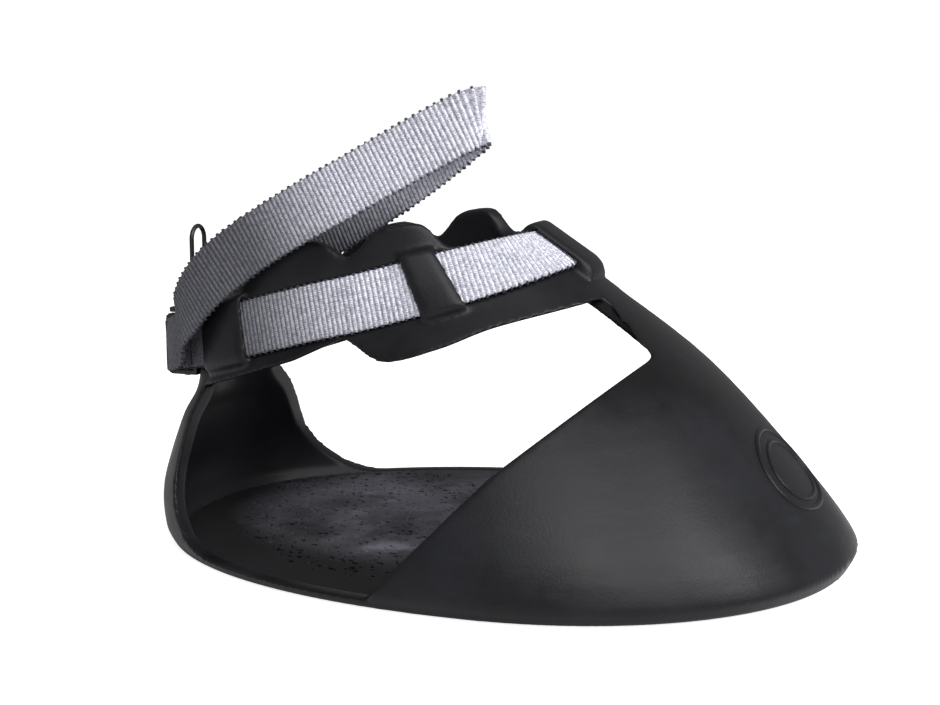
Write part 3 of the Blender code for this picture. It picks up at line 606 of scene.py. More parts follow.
def repeating_tree():
    """Geometry nodes that set a shape on every point, facing as the point says."""
    family, made = "GeometryNodeTree", {GEOMETRY: ("Pieces",)}
    tree, given, out = new_group("repeat_on_points", REPEAT_INPUTS, made, family)

    def stored(label):
        kind = "GeometryNodeInputNamedAttribute"
        return node(tree, kind, {"Name": label}, data_type="FLOAT_VECTOR")

    def drawn(low, high, seed):
        inputs = {2: low, 3: high, "Seed": seed}
        return node(tree, "FunctionNodeRandomValue", inputs, 1, data_type="FLOAT")

    axes = {"primary_axis": "Z", "secondary_axis": "X"}
    directions = {0: stored("facing"), 1: stored("across")}
    turn = node(tree, "FunctionNodeAxesToRotation", directions, **axes)
    lean = drawn(maths(tree, "MULTIPLY", given["Lean"], -1.0), given["Lean"], given["Seed"])
    lean = node(tree, "ShaderNodeCombineXYZ", {"Z": lean})
    lean = node(tree, "FunctionNodeEulerToRotation", {0: lean})
    turn = node(tree, "FunctionNodeRotateRotation", {0: turn, 1: lean}, rotation_space="LOCAL")
    second = maths(tree, "ADD", given["Seed"], SIZE_SEED_STEP)
    size = drawn(given["Smallest"], given["Largest"], second)
    copied = node(tree, "GeometryNodeObjectInfo", {"Object": given["Shape"]}, "Geometry")
    setting = {"Points": given["Points"], "Instance": copied, "Rotation": turn, "Scale": size}
    copies = node(tree, "GeometryNodeInstanceOnPoints", setting)
    real = node(tree, "GeometryNodeRealizeInstances", {0: copies})
    finish = {"Geometry": real, "Material": given["Finish"]}
    fill(tree, {"Pieces": node(tree, "GeometryNodeSetMaterial", finish)}, out)
    return tree


REPEAT = repeating_tree()


def repeat(name, places, template, finish, smallest, largest, lean, seed):
    """One mesh of a template set on places: point, facing, across and run in metres."""
    mesh = bpy.data.meshes.new(name)
    mesh.from_pydata([p[0] for p in places], [], [])
    for label, column in (("facing", 1), ("across", 2)):
        layer = mesh.attributes.new(label, "FLOAT_VECTOR", "POINT")
        layer.data.foreach_set("vector", [v for p in places for v in p[column]])
    # Each point keeps its run along the strap and its share of painted shade towards the buckle
    for label, found in (
        ("run", [p[3] for p in places]),
        ("painted_shade", [painted_shade_at(p[0]) for p in places]),
    ):
        mesh.attributes.new(label, "FLOAT", "POINT").data.foreach_set("value", found)
    made = add_object(name, mesh)
    modifier = made.modifiers.new("repeat", "NODES")
    modifier.node_group = REPEAT
    sockets = [s.identifier for s in REPEAT.interface.items_tree if s.in_out == "INPUT"]
    settings = (template, smallest, largest, radians(lean), seed, finish)
    for socket, value in zip(sockets[1:], settings):
        modifier[socket] = value
    apply_modifiers(made)
    for label in ("facing", "across"):
        made.data.attributes.remove(made.data.attributes[label])
    print(name + ":", len(places), "places,", triangles(made), "triangles")
    return made


# %% [markdown]
# ## Webbing
# The strap is narrow woven polyester: thick weft cords lie across it, and thin warp yarns
# run along it and bind them. The cords are real shapes here, because they break the
# outline and catch the light, and the yarns between are only relief in the material, with
# painted shade between them in its colour. Two attributes, the distance across and the run
# along, carry the yarns round every bend, and a third darkens the webbing towards the buckle as
# painted shade.

# %% The webbing group
RIB_PITCH, YARN_PITCH, WEAVE_DEPTH = 1.4 * MM, 0.62 * MM, 0.15 * MM
FUZZ, SOILING = (1300.0, 2.0, 0.7), (110.0, 4.0, 0.65)
SOIL_RANGE, FUZZ_RANGE, PAINTED_SHADE_COLOUR = (0.45, 0.75), (0.36, 0.64), (0.02, 0.021, 0.027)
FUZZ_LIGHT, WEAVE_LIGHT, FUZZ_GLOSS, FUZZ_RISE = 0.6, 0.45, (0.2, 0.55), 0.4
WEBBING_LAYERS = (("Across", "breadth"), ("Run", "run"), ("Painted Shade", "painted_shade"))


def webbing_group():
    """Two crossing rows of yarns with painted shade between them, fuzz and soil on them, and
    painted shade towards the buckle.
    """
    amounts = ("Soil", "Across", "Run", "Painted Shade")
    sockets = {VECTOR: ("Place",), COLOUR: ("Yarn", "Shade"), FLOAT: amounts}
    tree, given, out = new_group("woven_webbing", sockets)
    step = maths(tree, "MULTIPLY", given["Run"], pi / RIB_PITCH)
    waves = []
    for way in (1, -1):
        phase = maths(tree, "MULTIPLY_ADD", given["Across"], way * pi / YARN_PITCH, step)
        waves.append(maths(tree, "ABSOLUTE", maths(tree, "SINE", phase)))
    weave = maths(tree, "MAXIMUM", *waves)
    fuzz = noise(tree, given["Place"], *FUZZ)
    soil = noise(tree, given["Place"], *SOILING)
    soiled = maths(tree, "MULTIPLY", ranged(tree, soil, *SOIL_RANGE), given["Soil"])
    # Painted shade in the weave: the colour is lighter on the yarns and darker between them
    light = maths(tree, "MULTIPLY", weave, WEAVE_LIGHT)
    light = maths(tree, "MULTIPLY_ADD", ranged(tree, fuzz, *FUZZ_RANGE), FUZZ_LIGHT, light)
    light = ranged(tree, maths(tree, "SUBTRACT", light, soiled), 0.0, 1.0)
    colour = mixed(tree, light, given["Shade"], given["Yarn"])
    results = {
        # Painted shade towards the buckle: the colour darkens there to near black
        "Colour": mixed(tree, given["Painted Shade"], colour, PAINTED_SHADE_COLOUR),
        "Roughness": maths(tree, "MULTIPLY_ADD", fuzz, *FUZZ_GLOSS),
        "Height": maths(tree, "MULTIPLY_ADD", fuzz, FUZZ_RISE, weave),
    }
    fill(tree, results, out)
    return tree


WEBBING = webbing_group()
plain = {"Sheen Weight": 0.1, "Sheen Roughness": 0.45, "Specular IOR Level": 0.3}
# The core under the ribs takes darker colours, as painted shade in the gaps between the ribs
webbing, shaded_webbing_core, thread = (
    surface(name, WEBBING, (yarn, shadow, soil), bump, WEAVE_DEPTH, plain, WEBBING_LAYERS)
    for name, yarn, shadow, soil, bump in (
        ("grey_webbing", (0.76, 0.765, 0.85), (0.30, 0.30, 0.36), 0.2, 0.6),
        ("shaded_webbing_core", (0.42, 0.42, 0.48), (0.16, 0.16, 0.19), 0.1, 0.6),
        ("dark_thread", (0.05, 0.05, 0.065), (0.02, 0.02, 0.026), 0.1, 0.3),
    )
)
print("Rib every", round(RIB_PITCH / MM, 2), "mm, yarn every", round(YARN_PITCH / MM, 2), "mm")

# %% Frames along a strap
FRAME_STEP = 0.7 * MM
# Two spots of painted shade on the webbing: a wide one above the buckle, and a black one beside
# the cam
SHADE_CENTRE, SHADE_REACH = Vector((-85, -20, 80)) * MM, (26 * MM, 64 * MM)
DEEP_SHADE_CENTRE, DEEP_SHADE_REACH = Vector((-99, -6, 52)) * MM, (11 * MM, 18 * MM)
SHADE_STRENGTH, BAND_ANGLE = 0.86, 60.0
# Each point of a band's section: shares of its half thickness and of its half width
BAND_SIDES = (0.95, 0.5, 0.0, -0.5, -0.95)
BAND_PROFILE = [(-1.0, side) for side in BAND_SIDES] + [(-0.5, -1.0), (0.5, -1.0)]
BAND_PROFILE += [(-out, -side) for out, side in BAND_PROFILE]
# Share of a bar's half length, and its thickness there
BAR_STATIONS = (
    (-1.0, 0.45), (-0.93, 0.9), (-0.6, 1.0), (0.0, 1.0), (0.6, 1.0), (0.93, 0.9), (1.0, 0.45),
)


def even_frames(route):
    """Even frames along a smooth route of points and width directions.

    Each is a point, the way it faces, its width direction and its run.
    """
    points, ups = zip(*route)
    dense, directions = smooth_route(points), []
    for one, two in zip(ups, ups[1:]):
        directions += [one.lerp(two, k / ROUTE_STEPS) for k in range(ROUTE_STEPS)]
    directions.append(ups[-1])
    runs = [0.0]
    for one, two in zip(dense, dense[1:]):
        runs.append(runs[-1] + (two - one).length)
    frames = []
    for run in steps_between(0.0, runs[-1], FRAME_STEP):
        i = min(max(bisect_left(runs, run), 1), len(runs) - 1)
        share = (run - runs[i - 1]) / (runs[i] - runs[i - 1])
        up = directions[i - 1].lerp(directions[i], share)
        frames.append((dense[i - 1].lerp(dense[i], share), up, run))
    made = []
    nexts = frames[1:] + frames[-1:]
    for before, (point, up, run), after in zip(frames[:1] + frames, frames, nexts):
        along = (after[0] - before[0]).normalized()
        up = (up - up.dot(along) * along).normalized()
        made.append((point, along.cross(up), up, run))
    return made


def every(frames, pitch, start=0.0, end=0.0):
    """Every so many frames, as near the pitch as they come, between distances from the ends."""
    step = frames[1][3] - frames[0][3]
    last = len(frames) - round(end / step)
    return frames[round(start / step) : last : max(round(pitch / step), 1)]


def fading(point, centre, reach):
    """One near a centre, none beyond its reach, and smooth between."""
    near, far = reach
    share = min(max(((point - centre).length - near) / (far - near), 0.0), 1.0)
    return 1 - share * share * (3 - 2 * share)


def painted_shade_at(point):
    """How much painted shade darkens the webbing: a wide spot above the buckle, black beside the
    cam.
    """
    shaded = SHADE_STRENGTH * fading(point, SHADE_CENTRE, SHADE_REACH)
    return max(shaded, fading(point, DEEP_SHADE_CENTRE, DEEP_SHADE_REACH))


def band(name, frames, half_thickness, half_width, finish):
    """Thin rounded band through the frames, with breadth, run and painted shade on its points."""
    shape = bmesh.new()
    layers = [shape.verts.layers.float.new(label) for label in ("breadth", "run", "painted_shade")]
    profile = [(out * half_thickness, side * half_width) for out, side in BAND_PROFILE]
    rings = add_sweep(shape, [across_frame(place[:3], profile) for place in frames])
    for (point, _, _, run), ring in zip(frames, rings):
        for (_, side), vertex in zip(profile, ring):
            for layer, value in zip(layers, (side, run, painted_shade_at(point))):
                vertex[layer] = value
    made = to_object(name, shape, BAND_ANGLE, finish=finish)
    print(name + ":", round(frames[-1][3] / MM, 1), "mm long,", triangles(made), "triangles")
    return made


def bar(name, half_length, half_width, half_height, sides=6):
    """A rounded bar along X, with its distance along X kept as breadth."""
    shape = bmesh.new()
    breadth = shape.verts.layers.float.new("breadth")
    wide, tall = half_width * Y_AXIS, half_height * UP
    sections = [
        circle(x * half_length * X_AXIS, size, wide, tall, sides, 0.5) for x, size in BAR_STATIONS
    ]
    for ring in add_sweep(shape, sections):
        for vertex in ring:
            vertex[breadth] = vertex.co.x
    return to_object(name, shape, ROUND_ANGLE)


# Painted shade turns the webbing black within this reach of the cam
print("Black webbing within", round(DEEP_SHADE_REACH[0] / MM), "mm of the cam")

# %% Routes of the strap and its tail
BASE_THICKNESS = 1.2 * MM
STRAP_X = PAD_X - GAP - BASE_THICKNESS - GAP - HALF_THICKNESS
ANCHOR_RADIUS, HUB_RADIUS = 0.9 * MM, 2.4 * MM
WRAP = HALF_THICKNESS + GAP
ANCHOR = Vector((STRAP_X - WRAP - ANCHOR_RADIUS, -7.2 * MM, REAR.z))
PIN = Vector((STRAP_X - WRAP - HUB_RADIUS, 3.4 * MM, REAR.z))
LEAVE_ANGLE, STRAP_ANGLE_STEP = 147.5, 2.5
PLATE_EDGE = BASE_HALF_LENGTH + 1.3 * MM
WRAP_ANGLES = (200, 170, 135, 100, 65, 30, 0, -20)
SEWN_LENGTH, SEWN_STEP, SPLIT_GAP, TAIL_STEP = 7 * MM, 3.15 * MM, 0.8 * MM, 1.5 * MM
# Distance behind the strap's line and to the side, in millimetres
EXIT_ROUTE = (
    (0.0, 5.0), (0.0, 1.5), (0.8, -0.8), (2.8, -2.4), (5.0, -3.8),
    (6.4, -6.4), (6.3, -9.0), (5.4, -11.6), (4.1, -14.0), (2.6, -16.4),
)
TAIL_ROUTE = (
    (-88.4, -23.4, 55.2), (-83.2, -29.4, 63.0), (-73.6, -33.8, 73.2), (-60.6, -35.2, 82.8),
    (-45.7, -36.6, 91.4), (-30.3, -37.0, 99.6), (-15.9, -36.8, 107.4), (0.0, -35.6, 115.8),
    (5.2, -33.6, 117.8), (3.2, -31.0, 116.2), (-12.3, -24.0, 106.0), (-27.2, -19.0, 97.0),
    (-42.7, -14.0, 88.2), (-59.8, -9.0, 79.0),
)

last, before = Vector(EXIT_ROUTE[-1]), Vector(EXIT_ROUTE[-2])
OUT_AXIS = Vector((before.x - last.x, last.y - before.y, 0)).normalized()
point, normal, _ = skin_frame(-LEAVE_ANGLE, STRAP_LEVEL)
at_plate = Vector((STRAP_X, -PLATE_EDGE, REAR.z))
slope = (at_plate - (point + normal * STRAP_MIDDLE)).normalized()
outward = Vector((-slope.y, slope.x, 0)).normalized()
sewn_end = at_plate - slope * SEWN_LENGTH + outward * (WEBBING_THICKNESS + GAP)
route = [(sewn_end, UP), (sewn_end + slope * SEWN_STEP, UP)]
for turn in map(radians, WRAP_ANGLES):
    around = Vector((cos(turn), sin(turn), 0))
    route.append((ANCHOR + around * (ANCHOR_RADIUS + WRAP), UP))
route.append((at_plate, UP))
for angle in steps_between(-LEAVE_ANGLE, LEAVE_ANGLE, STRAP_ANGLE_STEP):
    point, normal, up = skin_frame(angle, STRAP_LEVEL)
    route.append((point + normal * STRAP_MIDDLE, up))
exits = [Vector((STRAP_X, PLATE_EDGE, REAR.z))]
exits += [Vector((STRAP_X - back * MM, side * MM, REAR.z)) for back, side in EXIT_ROUTE]
tail_start = exits[-1] + OUT_AXIS * SPLIT_GAP / 2
exits[-1] -= OUT_AXIS * SPLIT_GAP / 2
strap_frames = even_frames(route + [(point, UP) for point in exits])
tail = [tail_start, tail_start + OUT_AXIS * TAIL_STEP, *(Vector(p) * MM for p in TAIL_ROUTE)]
tail_frames = even_frames([(point, UP) for point in tail])
for name, frames in (("Strap", strap_frames), ("Tail", tail_frames)):
    print(name, "run:", round(frames[-1][3] / MM), "mm")

# %% Bands, ribs and edge yarns
BAND_HALF_THICKNESS, BAND_INSET, RIB_INSET = 0.5 * MM, 0.15 * MM, 0.05 * MM
RIB_HALF_WIDTH, RIB_SINK = 0.66 * MM, 0.02 * MM
RIB_START, RIB_END = 0.7 * MM, 0.6 * MM
EDGE_PITCH, EDGE_INSET, EDGE_START = 2.0 * MM, 0.2 * MM, 0.6 * MM
# Half sizes of an edge yarn, then each piece's least and greatest size, lean and seed
EDGE_YARN = (0.55 * MM, 0.42 * MM, 0.62 * MM)
RIB_PLAY, EDGE_PLAY = (0.985, 1.0, 0.8, 4), (0.8, 1.05, 12.0, 9)

rib = bar("rib_shape", HALF_WEB - RIB_INSET, RIB_HALF_WIDTH, HALF_THICKNESS - RIB_SINK, 8)
edge_yarn = bar("edge_yarn_shape", *EDGE_YARN)


def edge_places(frames):
    """Places on both edges of a strap, half a pitch apart."""
    found = []
    for side, start in ((1, EDGE_START), (-1, EDGE_START + EDGE_PITCH / 2)):
        for point, facing, up, run in every(frames, EDGE_PITCH, start, EDGE_START):
            found.append((point + up * side * (HALF_WEB - EDGE_INSET), facing, up, run))
    return found


for name, frames, body, node_name in (
    ("strap", strap_frames, "boot", "collar_strap"),
    ("tail", tail_frames, "tail", "strap_tail"),
):
    half_width = HALF_WEB - BAND_INSET
    core = band(name + "_core", frames, BAND_HALF_THICKNESS, half_width, shaded_webbing_core)
    places = every(frames, RIB_PITCH, RIB_START, RIB_END)
    ribs = repeat(name + "_ribs", places, rib, webbing, *RIB_PLAY)
    edges = repeat(name + "_edge_yarns", edge_places(frames), edge_yarn, thread, *EDGE_PLAY)
    for piece in (core, ribs, edges):
        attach(piece, body)
    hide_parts(node_name)
bpy.data.objects.remove(rib)
bpy.data.objects.remove(edge_yarn)

# %% [markdown]
# ## Stitches on the sewn end
# The strap's fixed end goes round the anchor bar and is sewn to itself. Two short rows of
# thick thread cross it there. Each stitch is a small rounded bar, set by the same tree.

# %% Stitch rows
STITCH_PITCH, STITCH_SINK = 2.2 * MM, 0.02 * MM
STITCH_ROWS, STITCH = (1.6 * MM, 4.4 * MM), (0.85 * MM, 0.26 * MM, 0.3 * MM)
STITCH_PLAY = (0.97, 1.03, 4.0, 3)

stitch = bar("stitch_shape", *STITCH)
count = int(WEBBING_WIDTH / STITCH_PITCH)
stitch_places = []
for row in STITCH_ROWS:
    point, facing, up, run = every(strap_frames, 1.0, row)[0]
    for i in range(count):
        side = (i - (count - 1) / 2) * STITCH_PITCH
        for face in (facing, -facing):
            spot = point + up * side + face * (HALF_THICKNESS - STITCH_SINK)
            stitch_places.append((spot, face, up, run))
stitches = repeat("sewn_end_stitches", stitch_places, stitch, thread, *STITCH_PLAY)
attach(stitches, "boot")
bpy.data.objects.remove(stitch)

# %% [markdown]
# ## Metal finishes
# The buckle is black painted steel, its pin, bar and rivets are plated, and the keepers are
# coated wire. Paint and plating share one group: a cloudy tone, fine brushed scratches and
# a roughness that drifts. Each finish gives it its own colours, and its own metal value.

# %% The metal group
TONES, SCRATCHES = (220.0, 3.0, 0.6), (1.0, 2.0, 0.5)
BRUSHED_SCALE, SCRATCH_RANGE = (3000.0, 3000.0, 260.0), (0.55, 0.75)
CLOUD_WEAR, SCRATCH_RISE, SCRATCH_DEPTH = (0.5, 0.75, 0.0, 0.5), 0.4, 0.05 * MM


def metal_group():
    """A base tone worn through along fine scratches and in clouds."""
    amounts = ("Wear", "Roughness Low", "Roughness High")
    sockets = {VECTOR: ("Place",), COLOUR: ("Base", "Worn"), FLOAT: amounts}
    tree, given, out = new_group("worn_metal", sockets)
    place, wear, low = given["Place"], given["Wear"], given["Roughness Low"]
    cloud = noise(tree, place, *TONES)
    scratch = noise(tree, scaled(tree, place, BRUSHED_SCALE), *SCRATCHES)
    worn = maths(tree, "MULTIPLY", ranged(tree, scratch, *SCRATCH_RANGE), wear)
    worn = maths(tree, "MULTIPLY_ADD", ranged(tree, cloud, *CLOUD_WEAR), wear, worn)
    drift = maths(tree, "SUBTRACT", given["Roughness High"], low)
    results = {
        "Colour": mixed(tree, worn, given["Base"], given["Worn"]),
        "Roughness": maths(tree, "MULTIPLY_ADD", cloud, drift, low),
        "Height": maths(tree, "MULTIPLY_ADD", scratch, SCRATCH_RISE, cloud),
    }
    fill(tree, results, out)
    return tree


METAL = metal_group()
# Values are two tones, wear, and least and greatest roughness
values = (0.014, 0.014, 0.016), (0.09, 0.09, 0.1), 0.5, 0.3, 0.55
painted = surface("black_painted_steel", METAL, values, 0.3, SCRATCH_DEPTH, {"Metallic": 0.0})
values = (0.42, 0.43, 0.45), (0.66, 0.67, 0.68), 0.6, 0.22, 0.45
zinc = surface("zinc_plating", METAL, values, 0.25, SCRATCH_DEPTH, {"Metallic": 1.0})
values = (0.004, 0.004, 0.005), (0.02, 0.02, 0.024), 0.35, 0.3, 0.5
coated = surface("coated_wire", METAL, values, 0.2, SCRATCH_DEPTH, {"Metallic": 0.0})
print("Metal finishes:", painted.name, zinc.name, coated.name)

# %% [markdown]
# ## The buckle behind the heel
# A channel is bent from sheet, so its outer corners are round. The cam lever has a toothed
# hub that bites the strap, and a thin arm. Both are drawn as outlines, pushed out to their
# length and given small bevels, the way a press and a tumbling barrel leave real edges.

# %% Channel and lever
EAR_INNER, EAR_REACH = 8.3 * MM, 8.5 * MM
LEVER_HALF_HEIGHT = EAR_INNER - 0.4 * MM
LEVER_THICKNESS, LEVER_LENGTH, TIP_LIFT = 1.6 * MM, 17.0 * MM, 0.4 * MM
HUB_STEPS, HUB_START, HUB_TURN = 60, -180, 250
TOOTH_DEPTH, TOOTH_PITCH, TOOTH_TOP, TOOTH_ANGLES = 0.38 * MM, 30, 15, (-75, 60)
# Width of a bevel, and for the lever its segments and the least angle it rounds too
CHANNEL_BEVEL, LEVER_BEVEL = 0.35 * MM, (0.2 * MM, 2, 50.0)

front_x = PAD_X - GAP
back_x, tip_x = front_x - BASE_THICKNESS, front_x - EAR_REACH
outline = [
    (front_x, -EAR_OUTER), (front_x, EAR_OUTER), (tip_x, EAR_OUTER), (tip_x, EAR_INNER),
    (back_x, EAR_INNER), (back_x, -EAR_INNER), (tip_x, -EAR_INNER), (tip_x, -EAR_OUTER),
]
plate_ends = (-BASE_HALF_LENGTH, BASE_HALF_LENGTH)
sections = [[Vector((x, y, REAR.z + z)) for x, z in outline] for y in plate_ends]
channel_piece = bevel(swept("buckle_channel", [sections], finish=painted), CHANNEL_BEVEL)
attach(channel_piece, "boot")
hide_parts("buckle_base")

outline = []
for i in range(HUB_STEPS + 1):
    turn = HUB_START + HUB_TURN * i / HUB_STEPS
    toothed = TOOTH_ANGLES[0] < turn < TOOTH_ANGLES[1]
    bite = max(0.0, cos(2 * pi * (turn - TOOTH_TOP) / TOOTH_PITCH)) if toothed else 0.0
    a, radius = radians(turn), HUB_RADIUS - TOOTH_DEPTH * bite
    outline.append((radius * cos(a), radius * sin(a)))
inner = -HUB_RADIUS + LEVER_THICKNESS
outline += [
    (inner, HUB_RADIUS), (inner - TIP_LIFT, LEVER_LENGTH), (-HUB_RADIUS - TIP_LIFT, LEVER_LENGTH)
]
lever_ends = (-LEVER_HALF_HEIGHT, LEVER_HALF_HEIGHT)
sections = [[PIN + Vector((x, y, z)) for x, y in outline] for z in lever_ends]
lever_piece = bevel(swept("lever_body", [sections], finish=painted), *LEVER_BEVEL)
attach(lever_piece, "lever")
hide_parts("cam_lever")
print("Channel:", triangles(channel_piece), "lever:", triangles(lever_piece), "triangles")

# %% Pin, bar, rivets and washers
PIN_RADIUS, HEAD_RADIUS, HEAD_HEIGHT, FIT = 1.1 * MM, 1.9 * MM, 0.8 * MM, 0.15 * MM
BAR_OVERHANG = 0.6 * MM
RIVET_RADIUS, RIVET_HEAD_RADIUS, RIVET_HEAD = 1.5 * MM, 2.6 * MM, 0.9 * MM
WASHER_RADIUS, WASHER_THICKNESS, STANDOFF = 3.8 * MM, 0.8 * MM, 0.7 * MM
TURNED_SIDES, TURNED_ANGLE = 32, 40.0
PIN_BEVEL, BAR_BEVEL, RIVET_BEVEL, WASHER_BEVEL = 0.25 * MM, 0.2 * MM, 0.3 * MM, 0.12 * MM


def turned_piece(name, profile, across, beside, width, ends="flat"):
    """A plated piece: a profile of radius and centre pairs, turned about its own line."""
    sections = [circle(centre, r, across, beside, TURNED_SIDES) for r, centre in profile]
    made = bevel(swept(name, [sections], ends, finish=zinc), width, angle=TURNED_ANGLE)
    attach(made, "boot")
    return made


head = (EAR_OUTER + FIT) * UP
cap = head + HEAD_HEIGHT * UP
profile = [(HEAD_RADIUS, PIN - cap), (HEAD_RADIUS, PIN - head), (PIN_RADIUS, PIN - head)]
profile += [(PIN_RADIUS, PIN + head), (HEAD_RADIUS, PIN + head), (HEAD_RADIUS, PIN + cap)]
pin_piece = turned_piece("smooth_pin", profile, X_AXIS, Y_AXIS, PIN_BEVEL)
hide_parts("cam_pin")
reach = (EAR_OUTER + BAR_OVERHANG) * UP
profile = [(ANCHOR_RADIUS, ANCHOR - reach), (ANCHOR_RADIUS, ANCHOR + reach)]
bar_piece = turned_piece("smooth_anchor_bar", profile, X_AXIS, Y_AXIS, BAR_BEVEL)
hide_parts("anchor_bar")
tail_x = INSIDE_X + STANDOFF + WASHER_THICKNESS + FIT - back_x
for label, side in (("upper", 1), ("lower", -1)):
    start = Vector((back_x, 0, REAR.z + side * RIVET_HALF_SPACING))
    end, over = start + X_AXIS * tail_x, start + X_AXIS * (tail_x + RIVET_HEAD)
    profile = [(RIVET_RADIUS, start), (RIVET_RADIUS, end)]
    profile += [(RIVET_HEAD_RADIUS, end), (RIVET_HEAD_RADIUS, over)]
    rivet = turned_piece("smooth_rivet_" + label, profile, Y_AXIS, UP, RIVET_BEVEL)
    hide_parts("rivet_" + label)
    front = end - X_AXIS * FIT
    back = front - X_AXIS * WASHER_THICKNESS
    profile = rectangle(WASHER_RADIUS, RIVET_RADIUS + FIT, back, front)
    washer = turned_piece("smooth_washer_" + label, profile, Y_AXIS, UP, WASHER_BEVEL, "joined")
    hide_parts("washer_" + label)
print("Pin head radius:", round(HEAD_RADIUS / MM, 1), "mm")

# %% [markdown]
# ## Wire keepers
# Two slim loops of coated wire stand in lugs on the collar's rear edge. A wire keeps one
# round section all the way, so each is a circle of points carried round a closed route.

# %% Wire loops
WIRE_RADIUS, WIRE_HALF_WIDTH, WIRE_HEIGHT = 0.65 * MM, 3.6 * MM, 22.0 * MM
WIRE_STEPS, WIRE_SIDES, FOOT_SHARE = 28, 14, 0.35
WIRE_RISE = WIRE_HEIGHT - WIRE_HALF_WIDTH

route = []
for centre_z, first, squash in ((WIRE_RISE, 0, 1.0), (WIRE_HALF_WIDTH, 180, FOOT_SHARE)):
    for i in range(WIRE_STEPS + 1):
        a = radians(first + 180 * i / WIRE_STEPS)
        z = centre_z + WIRE_HALF_WIDTH * sin(a) * squash
        route.append(Vector((0, WIRE_HALF_WIDTH * cos(a), z)))
lowest = min(p.z for p in route) * UP
for body, node_name, side in (
    ("near_loop", "wire_loop_near", -1),
    ("far_loop", "wire_loop_far", 1),
):
    eye = lug_centre(side) + LUG_EYE_HEIGHT * UP
    sections = []
    for i, point in enumerate(route):
        beside = (route[(i + 1) % len(route)] - route[i - 1]).normalized().cross(X_AXIS)
        centre = eye + point - lowest
        sections.append(circle(centre, WIRE_RADIUS, X_AXIS, beside, WIRE_SIDES))
    options = {"smooth_angle": ROUND_ANGLE, "finish": coated}
    wire_piece = swept(body + "_wire", [sections], "joined", **options)
    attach(wire_piece, body)
    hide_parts(node_name)
    print(wire_piece.name + ":", triangles(wire_piece), "triangles")

# %% [markdown]
# ## The sole and its pitted floor
# The floor of the boot is rough and full of small pits, so that the hoof doesn't slide on
# it. The plate is drawn inside the rim, grooved below, and then pitted: lumpy little balls
# are strewn over the floor by the repeating tree and cut away in a single Boolean.

# %% Plate and grooves
SOLE_THICKNESS, SOLE_COLUMNS = 2.6 * MM, 180
RIM_HEIGHT, RIM_FLARE = RINGS[1][-1] * MM, (RINGS[1][0] - RINGS[0][0]) * MM
RIM_WALL = WALL * hypot(RIM_HEIGHT, RIM_FLARE) / RIM_HEIGHT
PLATE_LAP = 0.8 * MM
TREAD_COUNT, TREAD_PITCH, TREAD_WIDTH, TREAD_DEPTH = 10, 15.0 * MM, 4.0 * MM, 1.0 * MM
TREAD_FRONT, TREAD_HALF_LENGTH, TREAD_OVERCUT = 70.0 * MM, 42.0 * MM, 5.0 * MM

sections = []
for height in (0.0, SOLE_THICKNESS):
    section = []
    for i in range(SOLE_COLUMNS):
        angle = 360 * i / SOLE_COLUMNS
        outside = skin(angle, 0).lerp(skin(angle, 1), height / RIM_HEIGHT)
        normal = skin_frame(angle, LEVEL_STEP)[1]
        flat = Vector((normal.x, normal.y, 0)).normalized()
        section.append(outside - flat * (RIM_WALL - PLATE_LAP))
    sections.append(section)
floor_plate = swept("pitted_sole", [sections])
grooves, groove_ends = [], (-TREAD_OVERCUT, TREAD_DEPTH)
for i in range(TREAD_COUNT):
    x = TREAD_FRONT - i * TREAD_PITCH
    corners = rectangle(x - TREAD_WIDTH, x, -TREAD_HALF_LENGTH, TREAD_HALF_LENGTH)
    grooves.append([[Vector((a, b, z)) for a, b in corners] for z in groove_ends])
combine(floor_plate, swept("tread_tool", grooves))
print("Sole plate:", triangles(floor_plate), "triangles")

# %% Pits
PIT_COUNT, PIT_RADIUS = 1150, 0.78 * MM
PIT_LUMP, PIT_LENGTH, PIT_HEIGHT = 0.22, 1.5, 1.3
PIT_CENTRE, PIT_REACH, PIT_SKEW = Vector((-34, 0, 0)) * MM, (46, 58), 0.3
PIT_WOBBLE, PIT_TILT, PIT_TURN, PIT_PLAY = 2.2 * MM, 0.1, 1.1, (0.4, 1.2, 20.0, 21)
GOLDEN_TURN, PITTED_ANGLE = pi * (3 - sqrt(5)), 30.0

# Sines of large steps stand for chance, so that the pits are the same in every run
shape = bmesh.new()
bmesh.ops.create_icosphere(shape, subdivisions=1, radius=PIT_RADIUS)
for i, vertex in enumerate(shape.verts):
    lump = 1 + PIT_LUMP * sin(7.3 * i)
    x, y, z = vertex.co
    vertex.co = Vector((x * lump * PIT_LENGTH, y * lump, z * PIT_HEIGHT))
pit = to_object("pit_shape", shape)
places = []
for i in range(PIT_COUNT):
    reach, turn = sqrt((i + 0.5) / PIT_COUNT), i * GOLDEN_TURN
    wobble = Vector((sin(12.9 * i * i), sin(78.2 * i * i), 0)) * PIT_WOBBLE
    spot = Vector((PIT_REACH[0] * cos(turn), PIT_REACH[1] * sin(turn), 0)) * reach * MM
    spot.x -= PIT_SKEW * spot.y
    tilt = Vector((sin(5.1 * i), cos(3.7 * i), 0)) * PIT_TILT
    spread = PIT_TURN * sin(2.4 * i * i)
    across = Vector((sin(spread), cos(spread), 0))
    centre = PIT_CENTRE + spot + wobble + SOLE_THICKNESS * UP
    places.append((centre, (UP + tilt).normalized(), across, 0.0))
pit_tools = repeat("pit_tools", places, pit, sole_rubber, *PIT_PLAY)
bpy.data.objects.remove(pit)
combine(floor_plate, pit_tools, crossing=True)
shade(floor_plate.data, PITTED_ANGLE)
floor_plate.data.materials.clear()
floor_plate.data.materials.append(sole_rubber)
print("Pitted sole:", triangles(floor_plate), "triangles")
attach(floor_plate, "boot")
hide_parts("sole_tread")

